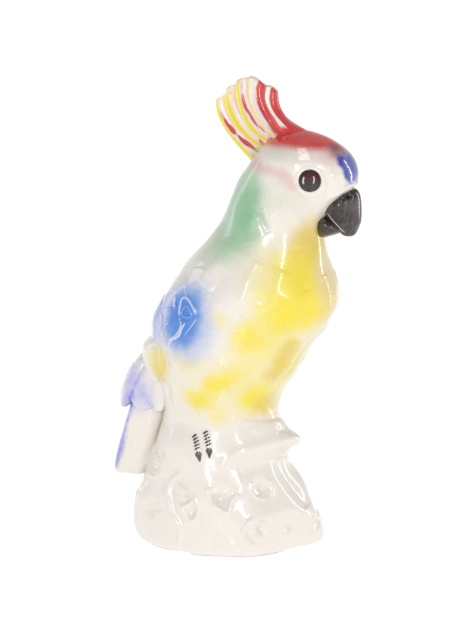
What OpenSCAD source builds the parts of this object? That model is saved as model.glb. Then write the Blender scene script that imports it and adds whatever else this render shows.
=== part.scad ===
// Glazed cockatoo figurine: a hollow slip-cast bird on a rock, drawn as the pieces a potter lutes together.
// The bird faces +X and its right side is -Y. The origin is the centre of the rock's flat underside.

/* [Rock base] */
// Length of the rock's foot, front to back
foot_len = 123; // [100:1:150]
// Width of the rock's foot, side to side
foot_wid = 96; // [80:1:120]
// Height of the rock, up to the seat that carries the body
rock_h = 80; // [65:1:100]
// How far the pointed ledge stands out in front of the rock
ledge_reach = 14; // [6:1:20]
// Thickness of the closed floor
floor_t = 5; // [3:0.5:8]
// Diameter of the drain and firing vent in the floor
vent_d = 12; // [6:1:20]

/* [Body] */
// Length of the seat between rock and body
seat_len = 72; // [60:1:86]
// Width of the seat between rock and body
seat_wid = 66; // [55:1:78]
// Height of the torso, from the seat to the neck seam
torso_h = 122; // [100:1:146]
// Depth of the chest, breast to back
chest_len = 112; // [95:1:130]
// Width of the chest, side to side
chest_wid = 90; // [76:1:106]
// How far the neck seam stands forward of the seat
lean = 33; // [20:1:44]
// Length of the neck seam
neck_len = 66; // [56:1:76]
// Width of the neck seam
neck_wid = 56; // [48:1:66]
// Thickness of the cast wall
wall = 4; // [3:0.5:6]

/* [Head] */
// Height of the head, from the neck seam to the crown
head_h = 64; // [54:1:76]
// Length of the head, nape to forehead
head_len = 77; // [68:1:90]
// Width of the head across the cheeks
head_wid = 60; // [52:1:70]
// How far the head's middle stands forward of the neck seam's middle
head_forward = 19; // [12:1:25]
// Diameter of each eye
eye_d = 14; // [10:0.5:17]
// How far an eye's dome stands proud of its rim
eye_dome = 3.2; // [1.5:0.1:5]
// Depth of an eye's plug in its socket
eye_seat = 2; // [1:0.1:2.5]
// Width of the upper beak
beak_wid = 25; // [19:1:30]
// How far the upper beak's bulge stands forward of the face
beak_reach = 14; // [10:1:18]
// Height of the upper beak
beak_h = 32; // [26:1:38]

/* [Crest] */
// Height of the tallest plume's tip above the crown
crest_rise = 37; // [28:1:46]
// Thickness of the crest where it leaves the crown
crest_root_t = 17; // [12:1:22]
// Thickness of the crest at the plumes' tips
crest_tip_t = 9; // [6:0.5:14]

/* [Wings and tail] */
// Thickness of a wing over the body
wing_t = 3.2; // [2:0.1:5]
// Width of the tail
tail_wid = 38; // [30:1:46]
// Thickness of the tail
tail_t = 17; // [12:1:21]
// Height of the tail's end above the table
tail_clear = 41; // [34:1:50]
// How far the tail's end stands behind the back of the seat
tail_back = 31; // [24:1:38]
// Thickness of the coverts over the tail's root
covert_t = 5; // [3:0.5:8]

/* [Feet] */
// Width of each toe
toe_wid = 5; // [3.5:0.5:7]
// Length of each toe with its claw
toe_len = 18; // [14:1:22]
// Distance between the two front toes of a foot
toe_pitch = 6.6; // [5.5:0.1:9]

/* [Hidden] */

// Layer of slip between two luted pieces
slip_gap = 0.25;
// Sides of a big ring and of a small one, and rings from one row of a profile to the next
big_sides = 40;
small_sides = 18;
steps = 2;

seat_x = -6.5;
neck_z = rock_h + torso_h;
neck_x = seat_x + lean;
crown_z = neck_z + head_h;
head_x = neck_x + head_forward;
crown_x = head_x - 0.5;

// Rows of a profile: height, middle along X, half length, half width, and middle along Y.
// The rock flares from the seat down to its foot, with a waist above the flare.
rock_rows = [
    [0, 0, foot_len / 2 - 1.5, foot_wid / 2 - 1.5, 0],
    [0.04 * rock_h, 0, foot_len / 2, foot_wid / 2, 0],
    [0.14 * rock_h, -0.5, foot_len / 2 - 0.5, foot_wid / 2 - 0.5, 0],
    [0.27 * rock_h, -2, foot_len / 2 - 3.5, foot_wid / 2 - 2, 0],
    [0.39 * rock_h, -5, foot_len / 2 - 9, foot_wid / 2 - 4, 0],
    [0.53 * rock_h, seat_x, seat_len / 2 + 11, seat_wid / 2 + 8, 0],
    [0.67 * rock_h, seat_x, seat_len / 2 + 7.5, seat_wid / 2 + 7, 0],
    [0.86 * rock_h, seat_x, seat_len / 2 + 4, seat_wid / 2 + 4, 0],
    [rock_h, seat_x, seat_len / 2, seat_wid / 2, 0]
];

torso_rows = [
    [rock_h, seat_x, seat_len / 2, seat_wid / 2, 0],
    [rock_h + 0.11 * torso_h, seat_x, seat_len / 2 + 0.5, seat_wid / 2 + 3, 0],
    [rock_h + 0.27 * torso_h, seat_x + 0.06 * lean, 0.83 * chest_len / 2, 0.91 * chest_wid / 2, 0],
    [rock_h + 0.44 * torso_h, seat_x + 0.25 * lean, 0.96 * chest_len / 2, 0.99 * chest_wid / 2, 0],
    [rock_h + 0.63 * torso_h, seat_x + 0.58 * lean, chest_len / 2, chest_wid / 2, 0],
    [rock_h + 0.83 * torso_h, seat_x + 0.75 * lean, 0.81 * chest_len / 2, 0.85 * chest_wid / 2, 0],
    [neck_z, neck_x, neck_len / 2, neck_wid / 2, 0]
];

head_rows = [
    [neck_z, neck_x, neck_len / 2, neck_wid / 2, 0],
    [neck_z + 0.16 * head_h, neck_x + 0.2 * head_forward, neck_len / 2 - 0.5, neck_wid / 2 + 0.3, 0],
    [neck_z + 0.31 * head_h, neck_x + 0.55 * head_forward, 0.91 * head_len / 2, 0.97 * head_wid / 2, 0],
    [neck_z + 0.44 * head_h, neck_x + 0.88 * head_forward, head_len / 2, head_wid / 2, 0],
    [neck_z + 0.57 * head_h, head_x, 0.97 * head_len / 2, head_wid / 2, 0],
    [neck_z + 0.69 * head_h, head_x + 1.5, 0.86 * head_len / 2, 0.92 * head_wid / 2, 0],
    [neck_z + 0.79 * head_h, head_x + 1, 0.74 * head_len / 2, 0.82 * head_wid / 2, 0],
    [neck_z + 0.88 * head_h, head_x, 0.59 * head_len / 2, 0.66 * head_wid / 2, 0],
    [neck_z + 0.95 * head_h, crown_x, 0.4 * head_len / 2, 0.47 * head_wid / 2, 0],
    [crown_z - 0.6, crown_x, 0.2 * head_len / 2, 0.24 * head_wid / 2, 0],
    [crown_z, crown_x, 0.06 * head_len / 2, 0.08 * head_wid / 2, 0]
];

// The tail leaves the rump and leans back as it drops to its end: shares of its drop, thickness and width.
tail_root_z = rock_h + 0.34 * torso_h;
function tail_z(share) = tail_root_z + (tail_clear - tail_root_z) * share;
function tail_x(share) = seat_x - 0.96 * seat_len / 2 - tail_back * pow(share, 0.75);
tail_shape = [
    [0, 0.6, 0.74], [0.17, 1, 0.88], [0.36, 1.08, 0.97], [0.57, 1.02, 1],
    [0.78, 0.96, 0.97], [0.92, 0.86, 0.88], [0.98, 0.62, 0.7], [1, 0.3, 0.4]
];
tail_rows = [
    for (s = tail_shape) [tail_z(s[0]), tail_x(s[0]), s[1] * tail_t / 2, s[2] * tail_wid / 2, 0]
];

// The coverts wrap the back and the sides of the tail's root, under the wings' tips.
covert_shape = [
    [0, 0.5, 0.66], [0.1, 0.86, 0.9], [0.26, 1.05, 1], [0.44, 1.08, 1.04], [0.58, 1, 0.98], [0.64, 0.8, 0.84]
];
covert_rows = [
    for (s = covert_shape) [
        tail_z(s[0]) + 5, tail_x(s[0]) - covert_t / 2 - 1.5,
        s[1] * (tail_t + covert_t) / 2, s[2] * (tail_wid / 2 + 1.5), 0
    ]
];

// The upper beak curls forward and down; the lower one is a scoop behind its tip.
beak_top_z = neck_z + 0.5 * head_h;
bulge_x = neck_x + 0.7 * head_forward + head_len / 2 - 6 + beak_reach / 2;
upper_beak_shape = [
    [0, 0, 0.2, 0.3], [0.06, -2.5, 0.42, 0.56], [0.16, -4.6, 0.68, 0.78], [0.32, -4.6, 0.9, 0.95],
    [0.5, -3.4, 0.94, 1], [0.66, -1.6, 0.8, 0.88], [0.8, 0, 0.6, 0.64], [0.92, 1.2, 0.38, 0.38], [1, 1.6, 0.14, 0.14]
];
upper_beak_rows = [
    for (s = upper_beak_shape)
        [beak_top_z - beak_h * s[0], bulge_x + s[1], s[2] * (beak_reach / 2 + 6.5), s[3] * beak_wid / 2, 0]
];
lower_beak_shape = [
    [0.62, -11, 3, 0.42], [0.7, -10.5, 6, 0.62], [0.84, -9, 8.4, 0.7],
    [0.96, -8, 8.4, 0.62], [1.06, -8.5, 6.4, 0.46], [1.11, -9, 2.6, 0.2]
];
lower_beak_rows = [
    for (s = lower_beak_shape) [beak_top_z - beak_h * s[0], bulge_x + s[1], s[2], s[3] * beak_wid / 2, 0]
];

// Fan lines part the plumes. Each goes from its root in the head over its bend to its tip, as seen from the
// right side and measured from the crown, on a fan whose tallest plume rises by fan_unit.
fan_unit = 35;
fan_roots = [[-29, -21], [-25.5, -16], [-22, -12], [-18, -9.5], [-12.5, -6.5], [-4.5, -5]];
fan_bends = [[-51, 3.6], [-44.5, 6.8], [-39.1, 10.8], [-33.1, 15.7], [-24, 15.5], [-12.8, 12.5]];
fan_tips = [[-54.6, 17], [-48.2, 21.6], [-40.7, 28.7], [-33.5, 31.5], [-22.6, 27.5], [-14.3, 21]];
// How far a plume's round tip stands beyond the fan lines beside it
tip_round = 3.2;

// A Catmull-Rom curve through rows of numbers, with count rings from one row to the next.
function curve(a, b, c, d, t) =
    0.5 * (2 * b + (c - a) * t + (2 * a - 5 * b + 4 * c - d) * t * t + (3 * b - a - 3 * c + d) * t * t * t);
function refine(rows, count) = concat(
    [for (i = [0 : len(rows) - 2]) for (s = [0 : count - 1])
        curve(rows[max(i - 1, 0)], rows[i], rows[i + 1], rows[min(i + 2, len(rows) - 1)], s / count)],
    [rows[len(rows) - 1]]
);
function backwards(list) = [for (k = [len(list) - 1 : -1 : 0]) list[k]];

// One ring of points: an ellipse round the row's middle, grown by a distance.
function ring(row, sides, grow = 0) = [
    for (i = [0 : sides - 1]) let (a = 360 * i / sides)
        [row[1] + (row[2] + grow) * cos(a), row[4] + (row[3] + grow) * sin(a), row[0]]
];

// Faces between rings that follow each other, caps over the first and the last, or faces that close the loop.
function side_faces(rings, sides) = [
    for (k = [0 : rings - 2]) for (i = [0 : sides - 1])
        let (j = (i + 1) % sides, low = k * sides, high = low + sides)
        each [[low + i, high + i, high + j], [low + i, high + j, low + j]]
];
function cap_faces(rings, sides) = [
    [for (i = [0 : sides - 1]) i],
    [for (i = [sides - 1 : -1 : 0]) (rings - 1) * sides + i]
];
function loop_faces(rings, sides) = [
    for (i = [0 : sides - 1]) let (j = (i + 1) % sides, last = (rings - 1) * sides)
        each [[last + i, i, j], [last + i, j, last + j]]
];

module ring_solid(rings, closed = false) {
    sides = len(rings[0]);
    ends = closed ? loop_faces(len(rings), sides) : cap_faces(len(rings), sides);
    all_faces = concat(side_faces(len(rings), sides), ends);
    polyhedron(points = [for (r = rings) each r], faces = all_faces, convexity = 8);
}

module loft(rows, sides, grow = 0) {
    ring_solid([for (row = refine(rows, steps)) ring(row, sides, grow)]);
}

// A solid piece that gets trimmed against its neighbours, as a chain of convex links from ring to ring.
module chain(rings) {
    for (k = [0 : len(rings) - 2]) hull() ring_solid([rings[k], rings[k + 1]]);
}
module chain_loft(rows, grow = 0) {
    chain([for (row = refine(rows, steps)) ring(row, small_sides, grow)]);
}

// The rock's relief: the pointed ledge in front, and broad lumps and hollows round its sides.
ledge_z = 0.87 * rock_h;
function ledge(a, z) =
    ledge_reach * pow(max(cos(a), 0), 12) * exp(-pow((z - ledge_z) / (0.08 * rock_h), 2));
function lumps(a, z) = sin(180 * z / rock_h) * (1.2 * sin(3 * a + 40) + 0.8 * sin(5 * a + 3 * z));
function rock_ring(row, grow) = [
    for (i = [0 : big_sides - 1]) let (a = 360 * i / big_sides, swell = lumps(a, row[0]) + grow)
        [row[1] + (row[2] + swell + ledge(a, row[0])) * cos(a), (row[3] + swell) * sin(a), row[0]]
];
rock_rings = refine(rock_rows, steps);

module rock_solid(grow = 0) {
    ring_solid([for (row = rock_rings) rock_ring(row, grow)]);
}

module rock_base() {
    outer = [for (row = rock_rings) rock_ring(row, 0)];
    inner = [
        for (row = backwards(rock_rings)) if (row[0] > floor_t + 2)
            ring(row, big_sides, -wall - 2 * sin(180 * row[0] / rock_h))
    ];
    hollow_floor = ring([floor_t, 0, foot_len / 2 - wall - 3, foot_wid / 2 - wall - 3, 0], big_sides);
    color("ivory") difference() {
        ring_solid(concat(outer, inner, [hollow_floor]));
        translate([-foot_len / 5, 0, -1]) cylinder(d = vent_d, h = floor_t + 2, $fn = 48);
    }
}

module torso_solid(grow = 0) {
    loft(torso_rows, big_sides, grow);
}

module torso() {
    rows = refine(torso_rows, steps);
    outer = [for (row = rows) ring(row, big_sides)];
    inner = [for (row = backwards(rows)) ring(row, big_sides, -wall)];
    color("cornsilk") ring_solid(concat(outer, inner), closed = true);
}

module head_solid(grow = 0) {
    loft(head_rows, big_sides, grow);
}

// Where an eye's rim lies on the head, and which way it looks.
eye_turn = 66;
eye_row = head_rows[4];
eye_at = [eye_row[1] + eye_row[2] * cos(eye_turn), -eye_row[3] * sin(eye_turn), eye_row[0] - 0.02 * head_h];
eye_yaw = -atan2(eye_row[2] * sin(eye_turn), eye_row[3] * cos(eye_turn));

// Places its children in the right eye's socket, or in the left one's, with +Z looking out of it.
module at_eye(side) {
    mirror([0, side == "left" ? 1 : 0, 0])
        translate(eye_at) rotate([0, 90, eye_yaw]) translate([0, 0, -0.8]) children();
}

module eye(side) {
    dome_r = (pow(eye_d / 2, 2) + pow(eye_dome, 2)) / (2 * eye_dome);
    color("black") at_eye(side) intersection() {
        translate([0, 0, -eye_seat]) cylinder(d = eye_d, h = eye_seat + eye_dome + 1, $fn = 64);
        translate([0, 0, eye_dome - dome_r]) sphere(r = dome_r, $fn = 64);
    }
}

// The head is a dome: inside surface from the crown down, the neck seam, then the outside up to the crown.
module head() {
    rows = refine(head_rows, steps);
    thinnest = wall + 2;
    inner = [
        for (row = backwards(rows)) if (row[3] > thinnest)
            [for (p = ring(row, big_sides, -wall)) p - [0, 0, wall * (row[0] - neck_z) / head_h]]
    ];
    outer = [for (row = rows) ring(row, big_sides)];
    color("mintcream") difference() {
        ring_solid(concat(inner, outer));
        for (side = ["right", "left"])
            at_eye(side) translate([0, 0, -eye_seat - slip_gap])
                cylinder(d = eye_d + 2 * slip_gap, h = eye_seat + eye_dome + 4, $fn = 64);
    }
}

// A plume is a bent blade between two fan lines, thick at the root and thin at its round tip.
function fan_line(i, t) = let (
    r = fan_roots[i], stretch = crest_rise / fan_unit,
    m = r + stretch * (fan_bends[i] - r), e = r + stretch * (fan_tips[i] - r), k = 2 * m - (r + e) / 2
) r * pow(1 - t, 2) + k * 2 * t * (1 - t) + e * t * t;
function plume_ring(i, t) = let (
    u = min(t, 1), beyond = t > 1 ? t - 1 : 0,
    a = fan_line(i - 1, u), b = fan_line(i, u), ahead = fan_line(i, u) - fan_line(i, u - 0.05),
    middle = (a + b) / 2 + ahead / norm(ahead) * tip_round * sin(90 * beyond),
    narrow = cos(90 * beyond) + 0.02, across = (b - a) / 2 * (1 - slip_gap / norm(b - a)) * narrow,
    thick = (crest_root_t + (crest_tip_t - crest_root_t) * u) / 2 * narrow
) [
    for (s = [0 : small_sides - 1]) let (w = 360 * s / small_sides)
        [crown_x + middle[0] + across[0] * cos(w), thick * sin(w), crown_z + middle[1] + across[1] * cos(w)]
];

module crest_plume(i) {
    color(["gold", "khaki", "salmon", "red", "crimson"][i - 1]) difference() {
        chain([for (t = [0 : 0.125 : 1]) plume_ring(i, t), for (t = [1.3, 1.6, 1.85, 1.98]) plume_ring(i, t)]);
        head_solid(slip_gap);
    }
}

module upper_beak() {
    color("dimgray") difference() {
        chain_loft(upper_beak_rows);
        head_solid(slip_gap);
    }
}

module lower_beak() {
    color("dimgray") difference() {
        chain_loft(lower_beak_rows);
        head_solid(slip_gap);
        chain_loft(upper_beak_rows, slip_gap);
        torso_solid(slip_gap);
    }
}

// A folded wing hugs the torso: height share of the torso, front angle, back angle and share of its thickness.
wing_shape = [
    [0.13, 127, 142, 0.5], [0.22, 120, 144, 0.9], [0.32, 112, 147, 1], [0.43, 103, 160, 1], [0.55, 96, 171, 1],
    [0.67, 94, 170, 1], [0.77, 100, 164, 0.9], [0.85, 116, 152, 0.6]
];
torso_fine = refine(torso_rows, 4);
function torso_at(z, column) = lookup(z, [for (row = torso_fine) [row[0], row[column]]]);
function wing_point(z, a, out) = [
    torso_at(z, 1) + (torso_at(z, 2) + out) * cos(a), (torso_at(z, 3) + out) * sin(a), z
];
wing_cells = 8;
function wing_ring(row) = let (z = rock_h + row[0] * torso_h) concat(
    [for (c = [0 : wing_cells]) let (a = row[1] + (row[2] - row[1]) * c / wing_cells)
        wing_point(z, a, slip_gap + wing_t * row[3] * (0.15 + 0.85 * sqrt(sin(180 * c / wing_cells))))],
    [for (c = [wing_cells : -1 : 0]) wing_point(z, row[1] + (row[2] - row[1]) * c / wing_cells, slip_gap)]
);

module wing(side) {
    color("cornflowerblue") mirror([0, side == "right" ? 1 : 0, 0])
        ring_solid([for (row = refine(wing_shape, steps)) wing_ring(row)]);
}

module tail() {
    color("lavender") difference() {
        chain_loft(tail_rows);
        torso_solid(slip_gap);
        rock_solid(slip_gap);
    }
}

module tail_coverts() {
    color("slateblue") difference() {
        chain_loft(covert_rows);
        chain_loft(tail_rows, slip_gap);
        torso_solid(slip_gap);
        rock_solid(slip_gap);
    }
}

// A foot is two toes on a thin backing that lies on the rock's side, each toe narrowing to its claw.
// Shares of the toe's length, its width and its height:
toe_shape = [
    [0, 0.5, 0.3], [0.06, 0.8, 0.75], [0.2, 1, 1], [0.45, 0.95, 0.95], [0.66, 0.85, 0.85],
    [0.8, 0.6, 0.6], [0.94, 0.4, 0.4], [1, 0.25, 0.15]
];
foot_x = seat_x + 1.5;
foot_top_z = rock_h - 1.5;
foot_back_t = 0.5;
foot_cells = 28;
rock_fine = refine(rock_rows, 4);
function rock_at(z, column) = lookup(z, [for (row = rock_fine) [row[0], row[column]]]);
function rock_side(x, z) =
    let (a = -acos((x - rock_at(z, 1)) / rock_at(z, 2)))
    -(rock_at(z, 3) + lumps(a, z)) * abs(sin(a));
function toe_height(from_middle, row) =
    toe_wid / 2 * row[2] * sqrt(max(0, 1 - pow(2 * from_middle / (toe_wid * row[1]), 2)));
function foot_ring(row) = let (
    z = foot_top_z - toe_len * row[0],
    half = (toe_pitch + toe_wid * row[1]) / 2,
    line = [for (c = [0 : foot_cells]) foot_x - half * cos(180 * c / foot_cells)]
) concat(
    [for (x = line) let (toes = [for (place = [-0.5, 0.5]) toe_height(x - foot_x - place * toe_pitch, row)])
        [x, rock_side(x, z) - slip_gap - foot_back_t * row[1] - max(toes), z]],
    [for (x = backwards(line)) [x, rock_side(x, z) - slip_gap, z]]
);

module foot(side) {
    color("gray") mirror([0, side == "left" ? 1 : 0, 0])
        ring_solid([for (row = backwards(refine(toe_shape, steps))) foot_ring(row)]);
}

rock_base();
torso();
head();
wing("right");  // right_wing
wing("left");  // left_wing
tail_coverts();
tail();
crest_plume(1);  // crest_plume_1
crest_plume(2);  // crest_plume_2
crest_plume(3);  // crest_plume_3
crest_plume(4);  // crest_plume_4
crest_plume(5);  // crest_plume_5
upper_beak();
lower_beak();
eye("right");  // right_eye
eye("left");  // left_eye
foot("right");  // right_foot
foot("left");  // left_foot
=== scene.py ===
import math

import bpy
import bmesh
import numpy as np
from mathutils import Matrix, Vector
from mathutils.bvhtree import BVHTree


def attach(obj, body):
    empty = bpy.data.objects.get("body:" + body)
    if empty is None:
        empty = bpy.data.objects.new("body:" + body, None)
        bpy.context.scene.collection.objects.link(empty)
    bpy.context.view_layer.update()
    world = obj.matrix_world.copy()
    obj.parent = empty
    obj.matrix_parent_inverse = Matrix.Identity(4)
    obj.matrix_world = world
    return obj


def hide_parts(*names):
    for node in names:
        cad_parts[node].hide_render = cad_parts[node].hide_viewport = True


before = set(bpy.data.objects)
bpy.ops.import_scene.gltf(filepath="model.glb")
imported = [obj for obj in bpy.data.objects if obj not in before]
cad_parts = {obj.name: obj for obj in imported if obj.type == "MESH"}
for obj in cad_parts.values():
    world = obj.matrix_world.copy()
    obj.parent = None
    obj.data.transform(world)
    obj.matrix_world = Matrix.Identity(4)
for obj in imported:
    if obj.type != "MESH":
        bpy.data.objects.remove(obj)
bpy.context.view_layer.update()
MM = 0.001


# ---------- camera ----------

def set_camera(azimuth=20.0, elevation=10.0, distance=1.5, aim=(0.0003, 0.0, 0.1432), lens=133.0):
    """Long lens, a little in front of the bird's right side and a little above it."""
    a, e = math.radians(azimuth), math.radians(elevation)
    back = Vector((math.sin(a) * math.cos(e), -math.cos(a) * math.cos(e), math.sin(e)))
    data = bpy.data.cameras.new("camera")
    data.lens, data.sensor_width = lens, 36.0
    data.clip_start, data.clip_end = 0.05, 50.0
    camera = bpy.data.objects.new("camera", data)
    bpy.context.scene.collection.objects.link(camera)
    camera.location = Vector(aim) + back * distance
    camera.rotation_euler = (-back).to_track_quat("-Z", "Y").to_euler()
    bpy.context.scene.camera = camera


set_camera()


# ---------- hand tools ----------

def start_clean():
    """Leaves edit mode and lets go of everything that is selected."""
    if bpy.context.object and bpy.context.object.mode != "OBJECT":
        bpy.ops.object.mode_set(mode="OBJECT")
    bpy.ops.object.select_all(action="DESELECT")


def take(piece):
    """Makes one piece the selected and active one."""
    start_clean()
    piece.select_set(True)
    bpy.context.view_layer.objects.active = piece


def finish_with(piece, kind, **settings):
    """Adds a modifier and applies it."""
    take(piece)
    modifier = piece.modifiers.new(kind.lower(), kind)
    for key, value in settings.items():
        setattr(modifier, key, value)
    bpy.ops.object.modifier_apply(modifier=modifier.name)


def draw_up(name, rings, sides=16):
    """A closed column: a disc, drawn out ring by ring. Each ring is (x, y, z, half length, half width) in mm."""
    # smoothing draws a ring of few corners inwards, so it starts out this much wider
    round_loss = 6 / (4 + 2 * math.cos(2 * math.pi / sides))
    start_clean()
    x, y, z, a, b = rings[0]
    bpy.ops.mesh.primitive_circle_add(vertices=sides, radius=round_loss, fill_type="NGON", location=(0, 0, 0))
    piece = bpy.context.object
    piece.name = name
    bpy.ops.object.mode_set(mode="EDIT")
    bpy.ops.mesh.select_all(action="SELECT")
    bpy.ops.transform.resize(value=(a * MM, b * MM, 1), center_override=(0, 0, 0))
    bpy.ops.transform.translate(value=(x * MM, y * MM, z * MM))
    for nx, ny, nz, na, nb in rings[1:]:
        bpy.ops.mesh.extrude_region_move(
            TRANSFORM_OT_translate={"value": ((nx - x) * MM, (ny - y) * MM, (nz - z) * MM)}
        )
        bpy.ops.transform.resize(value=(na / a, nb / b, 1), center_override=(nx * MM, ny * MM, nz * MM))
        x, y, z, a, b = nx, ny, nz, na, nb
    bpy.ops.mesh.select_all(action="SELECT")
    bpy.ops.mesh.normals_make_consistent(inside=False)
    bpy.ops.object.mode_set(mode="OBJECT")
    return piece


def points_of(piece):
    """A piece's points in mm."""
    co = np.empty(len(piece.data.vertices) * 3)
    piece.data.vertices.foreach_get("co", co)
    return co.reshape(-1, 3) / MM


def normals_of(piece):
    no = np.empty(len(piece.data.vertices) * 3, np.float32)
    piece.data.vertex_normals.foreach_get("vector", no)
    return no.reshape(-1, 3).astype(float)


def set_points(piece, co):
    piece.data.vertices.foreach_set("co", (co * MM).ravel())
    piece.data.update()


def shift(piece, by):
    """Moves a piece's points by so many mm."""
    set_points(piece, points_of(piece) + by)


def smooth_step(x):
    x = np.clip(x, 0, 1)
    return x * x * (3 - 2 * x)


def distance_to_line(co, line):
    """Distance of each point to a polyline, and how far along it the nearest place is (0 to 1)."""
    line = np.asarray(line, float)
    best = np.full(len(co), 1e9)
    along = np.zeros(len(co))
    steps = max(len(line) - 1, 1)
    for k in range(len(line) - 1):
        a, b = line[k], line[k + 1]
        ab = b - a
        t = np.clip(((co - a) @ ab) / max(ab @ ab, 1e-9), 0, 1)
        d = np.linalg.norm(co - (a + t[:, None] * ab), axis=1)
        near = d < best
        best = np.where(near, d, best)
        along = np.where(near, (k + t) / steps, along)
    if len(line) == 1:
        best = np.linalg.norm(co - line[0], axis=1)
    return best, along


def rounded(line, turns=2):
    """Cuts a polyline's corners, so a stroke through few points runs smoothly."""
    line = np.asarray(line, float)
    for _ in range(turns):
        if len(line) < 3:
            break
        cut = [line[0]]
        for a, b in zip(line[:-1], line[1:]):
            cut += [a * 0.75 + b * 0.25, a * 0.25 + b * 0.75]
        line = np.array(cut + [line[-1]])
    return line


def tool_marks(piece, marks):
    """Strokes of a modelling tool. Each is (polyline in mm, width, height): height is negative for a groove."""
    co, no = points_of(piece), normals_of(piece)
    surface = tree_of(piece)
    push = np.zeros(len(co))
    for line, width, height in marks:
        line = np.array([surface.find_nearest(Vector(p) * MM)[0] for p in rounded(line)]) / MM
        reach = 2.6 * width  # where the stroke has faded to nothing
        lo, hi = line.min(0) - reach, line.max(0) + reach
        near = np.nonzero(((co > lo) & (co < hi)).all(1))[0]
        if len(near) == 0:
            continue
        d, along = distance_to_line(co[near], line)
        # a stroke starts and ends softly, a dab is even
        fade = np.clip(np.minimum(along, 1 - along) * 6 + 0.25, 0, 1) if len(line) > 1 else 1
        push[near] += height * fade * np.exp(-(d / width) ** 2)
    set_points(piece, co + no * push[:, None])


def both_sides(marks):
    """The same strokes again on the other side of the bird."""
    return marks + [([(x, -y, z) for x, y, z in line], width, height) for line, width, height in marks]


def swell(piece, places):
    """Pulls or presses the clay by hand: (place in mm, direction, how wide, how far, how sharp)."""
    co = points_of(piece)
    push = np.zeros_like(co)
    for place, direction, wide, far, sharp in places:
        d = np.linalg.norm((co - np.array(place)) / np.array(wide), axis=1)
        push += np.exp(-d ** sharp)[:, None] * np.array(direction) * far
    set_points(piece, co + push)


def shave(piece, normal, depth, rise, top, soft):
    """Flattens one flank of the rock, as a wire does. The flat leans out by rise and runs out at top."""
    co = points_of(piece)
    n = np.array(normal) / np.linalg.norm(normal)
    over = co @ n - (depth + rise * co[:, 2])
    keep = smooth_step((top - co[:, 2]) / soft)
    bulge = 2.5  # how full the flat stays, in mm
    cut = np.where(over > 0, over - bulge * np.log1p(over / bulge), 0) * keep
    set_points(piece, co - cut[:, None] * n)


def join_into(piece, others):
    take(piece)
    for other in others:
        other.select_set(True)
    bpy.ops.object.join()


def fuse(piece, grain, passes):
    """Works joined lumps into one skin, then smooths it."""
    finish_with(piece, "REMESH", mode="VOXEL", voxel_size=grain * MM)
    finish_with(piece, "SMOOTH", factor=0.5, iterations=passes)


def skin(name, rings, marks=None):
    """A closed skin over equal rings of points in mm. marks gives each point its place (across, along) for paint."""
    rings = np.asarray(rings, float)
    count, sides = rings.shape[:2]
    mesh = bpy.data.meshes.new(name)
    faces = [
        (k * sides + i, k * sides + (i + 1) % sides, (k + 1) * sides + (i + 1) % sides, (k + 1) * sides + i)
        for k in range(count - 1) for i in range(sides)
    ]
    faces += [tuple(range(sides))[::-1], tuple((count - 1) * sides + i for i in range(sides))]
    mesh.from_pydata((rings.reshape(-1, 3) * MM).tolist(), [], faces)
    if marks is not None:
        flat = np.asarray(marks, float).reshape(-1, 2)
        layer = mesh.uv_layers.new(name="paint_map")
        corners = np.empty(len(mesh.loops), int)
        mesh.loops.foreach_get("vertex_index", corners)
        layer.data.foreach_set("uv", flat[corners].ravel())
    work = bmesh.new()
    work.from_mesh(mesh)
    bmesh.ops.recalc_face_normals(work, faces=work.faces)
    work.to_mesh(mesh)
    work.free()
    piece = bpy.data.objects.new(name, mesh)
    bpy.context.scene.collection.objects.link(piece)
    return piece


def evenly(line, count):
    """Points spaced evenly along a smooth line through a few points."""
    line = rounded(line, 3)
    run = np.concatenate([[0], np.cumsum(np.linalg.norm(np.diff(line, axis=0), axis=1))])
    at = np.linspace(0, run[-1], count)
    return np.stack([np.interp(at, run, line[:, k]) for k in range(line.shape[1])], 1)


def tree_of(piece):
    return BVHTree.FromPolygons([v.co for v in piece.data.vertices], [tuple(p.vertices) for p in piece.data.polygons])


def copy_of(piece, name):
    twin = piece.copy()
    twin.data = piece.data.copy()
    twin.name = name
    bpy.context.scene.collection.objects.link(twin)
    return twin


def other_side(piece, name):
    """The mirror image across the bird's middle, with its faces turned out again."""
    twin = copy_of(piece, name)
    for v in twin.data.vertices:
        v.co.y = -v.co.y
    twin.data.flip_normals()
    return twin


def slice_off(piece, height, keep_above):
    """Cuts the clay level at a height in mm, keeps one part and closes it."""
    take(piece)
    bpy.ops.object.mode_set(mode="EDIT")
    bpy.ops.mesh.select_all(action="SELECT")
    bpy.ops.mesh.bisect(
        plane_co=(0, 0, height * MM), plane_no=(0, 0, 1), use_fill=True,
        clear_inner=keep_above, clear_outer=not keep_above, threshold=1e-6,
    )
    bpy.ops.object.mode_set(mode="OBJECT")


def shade(piece, angle=40):
    take(piece)
    bpy.ops.object.shade_smooth_by_angle(angle=math.radians(angle))


# ---------- the bird and its rock, in one lump of clay ----------

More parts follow.
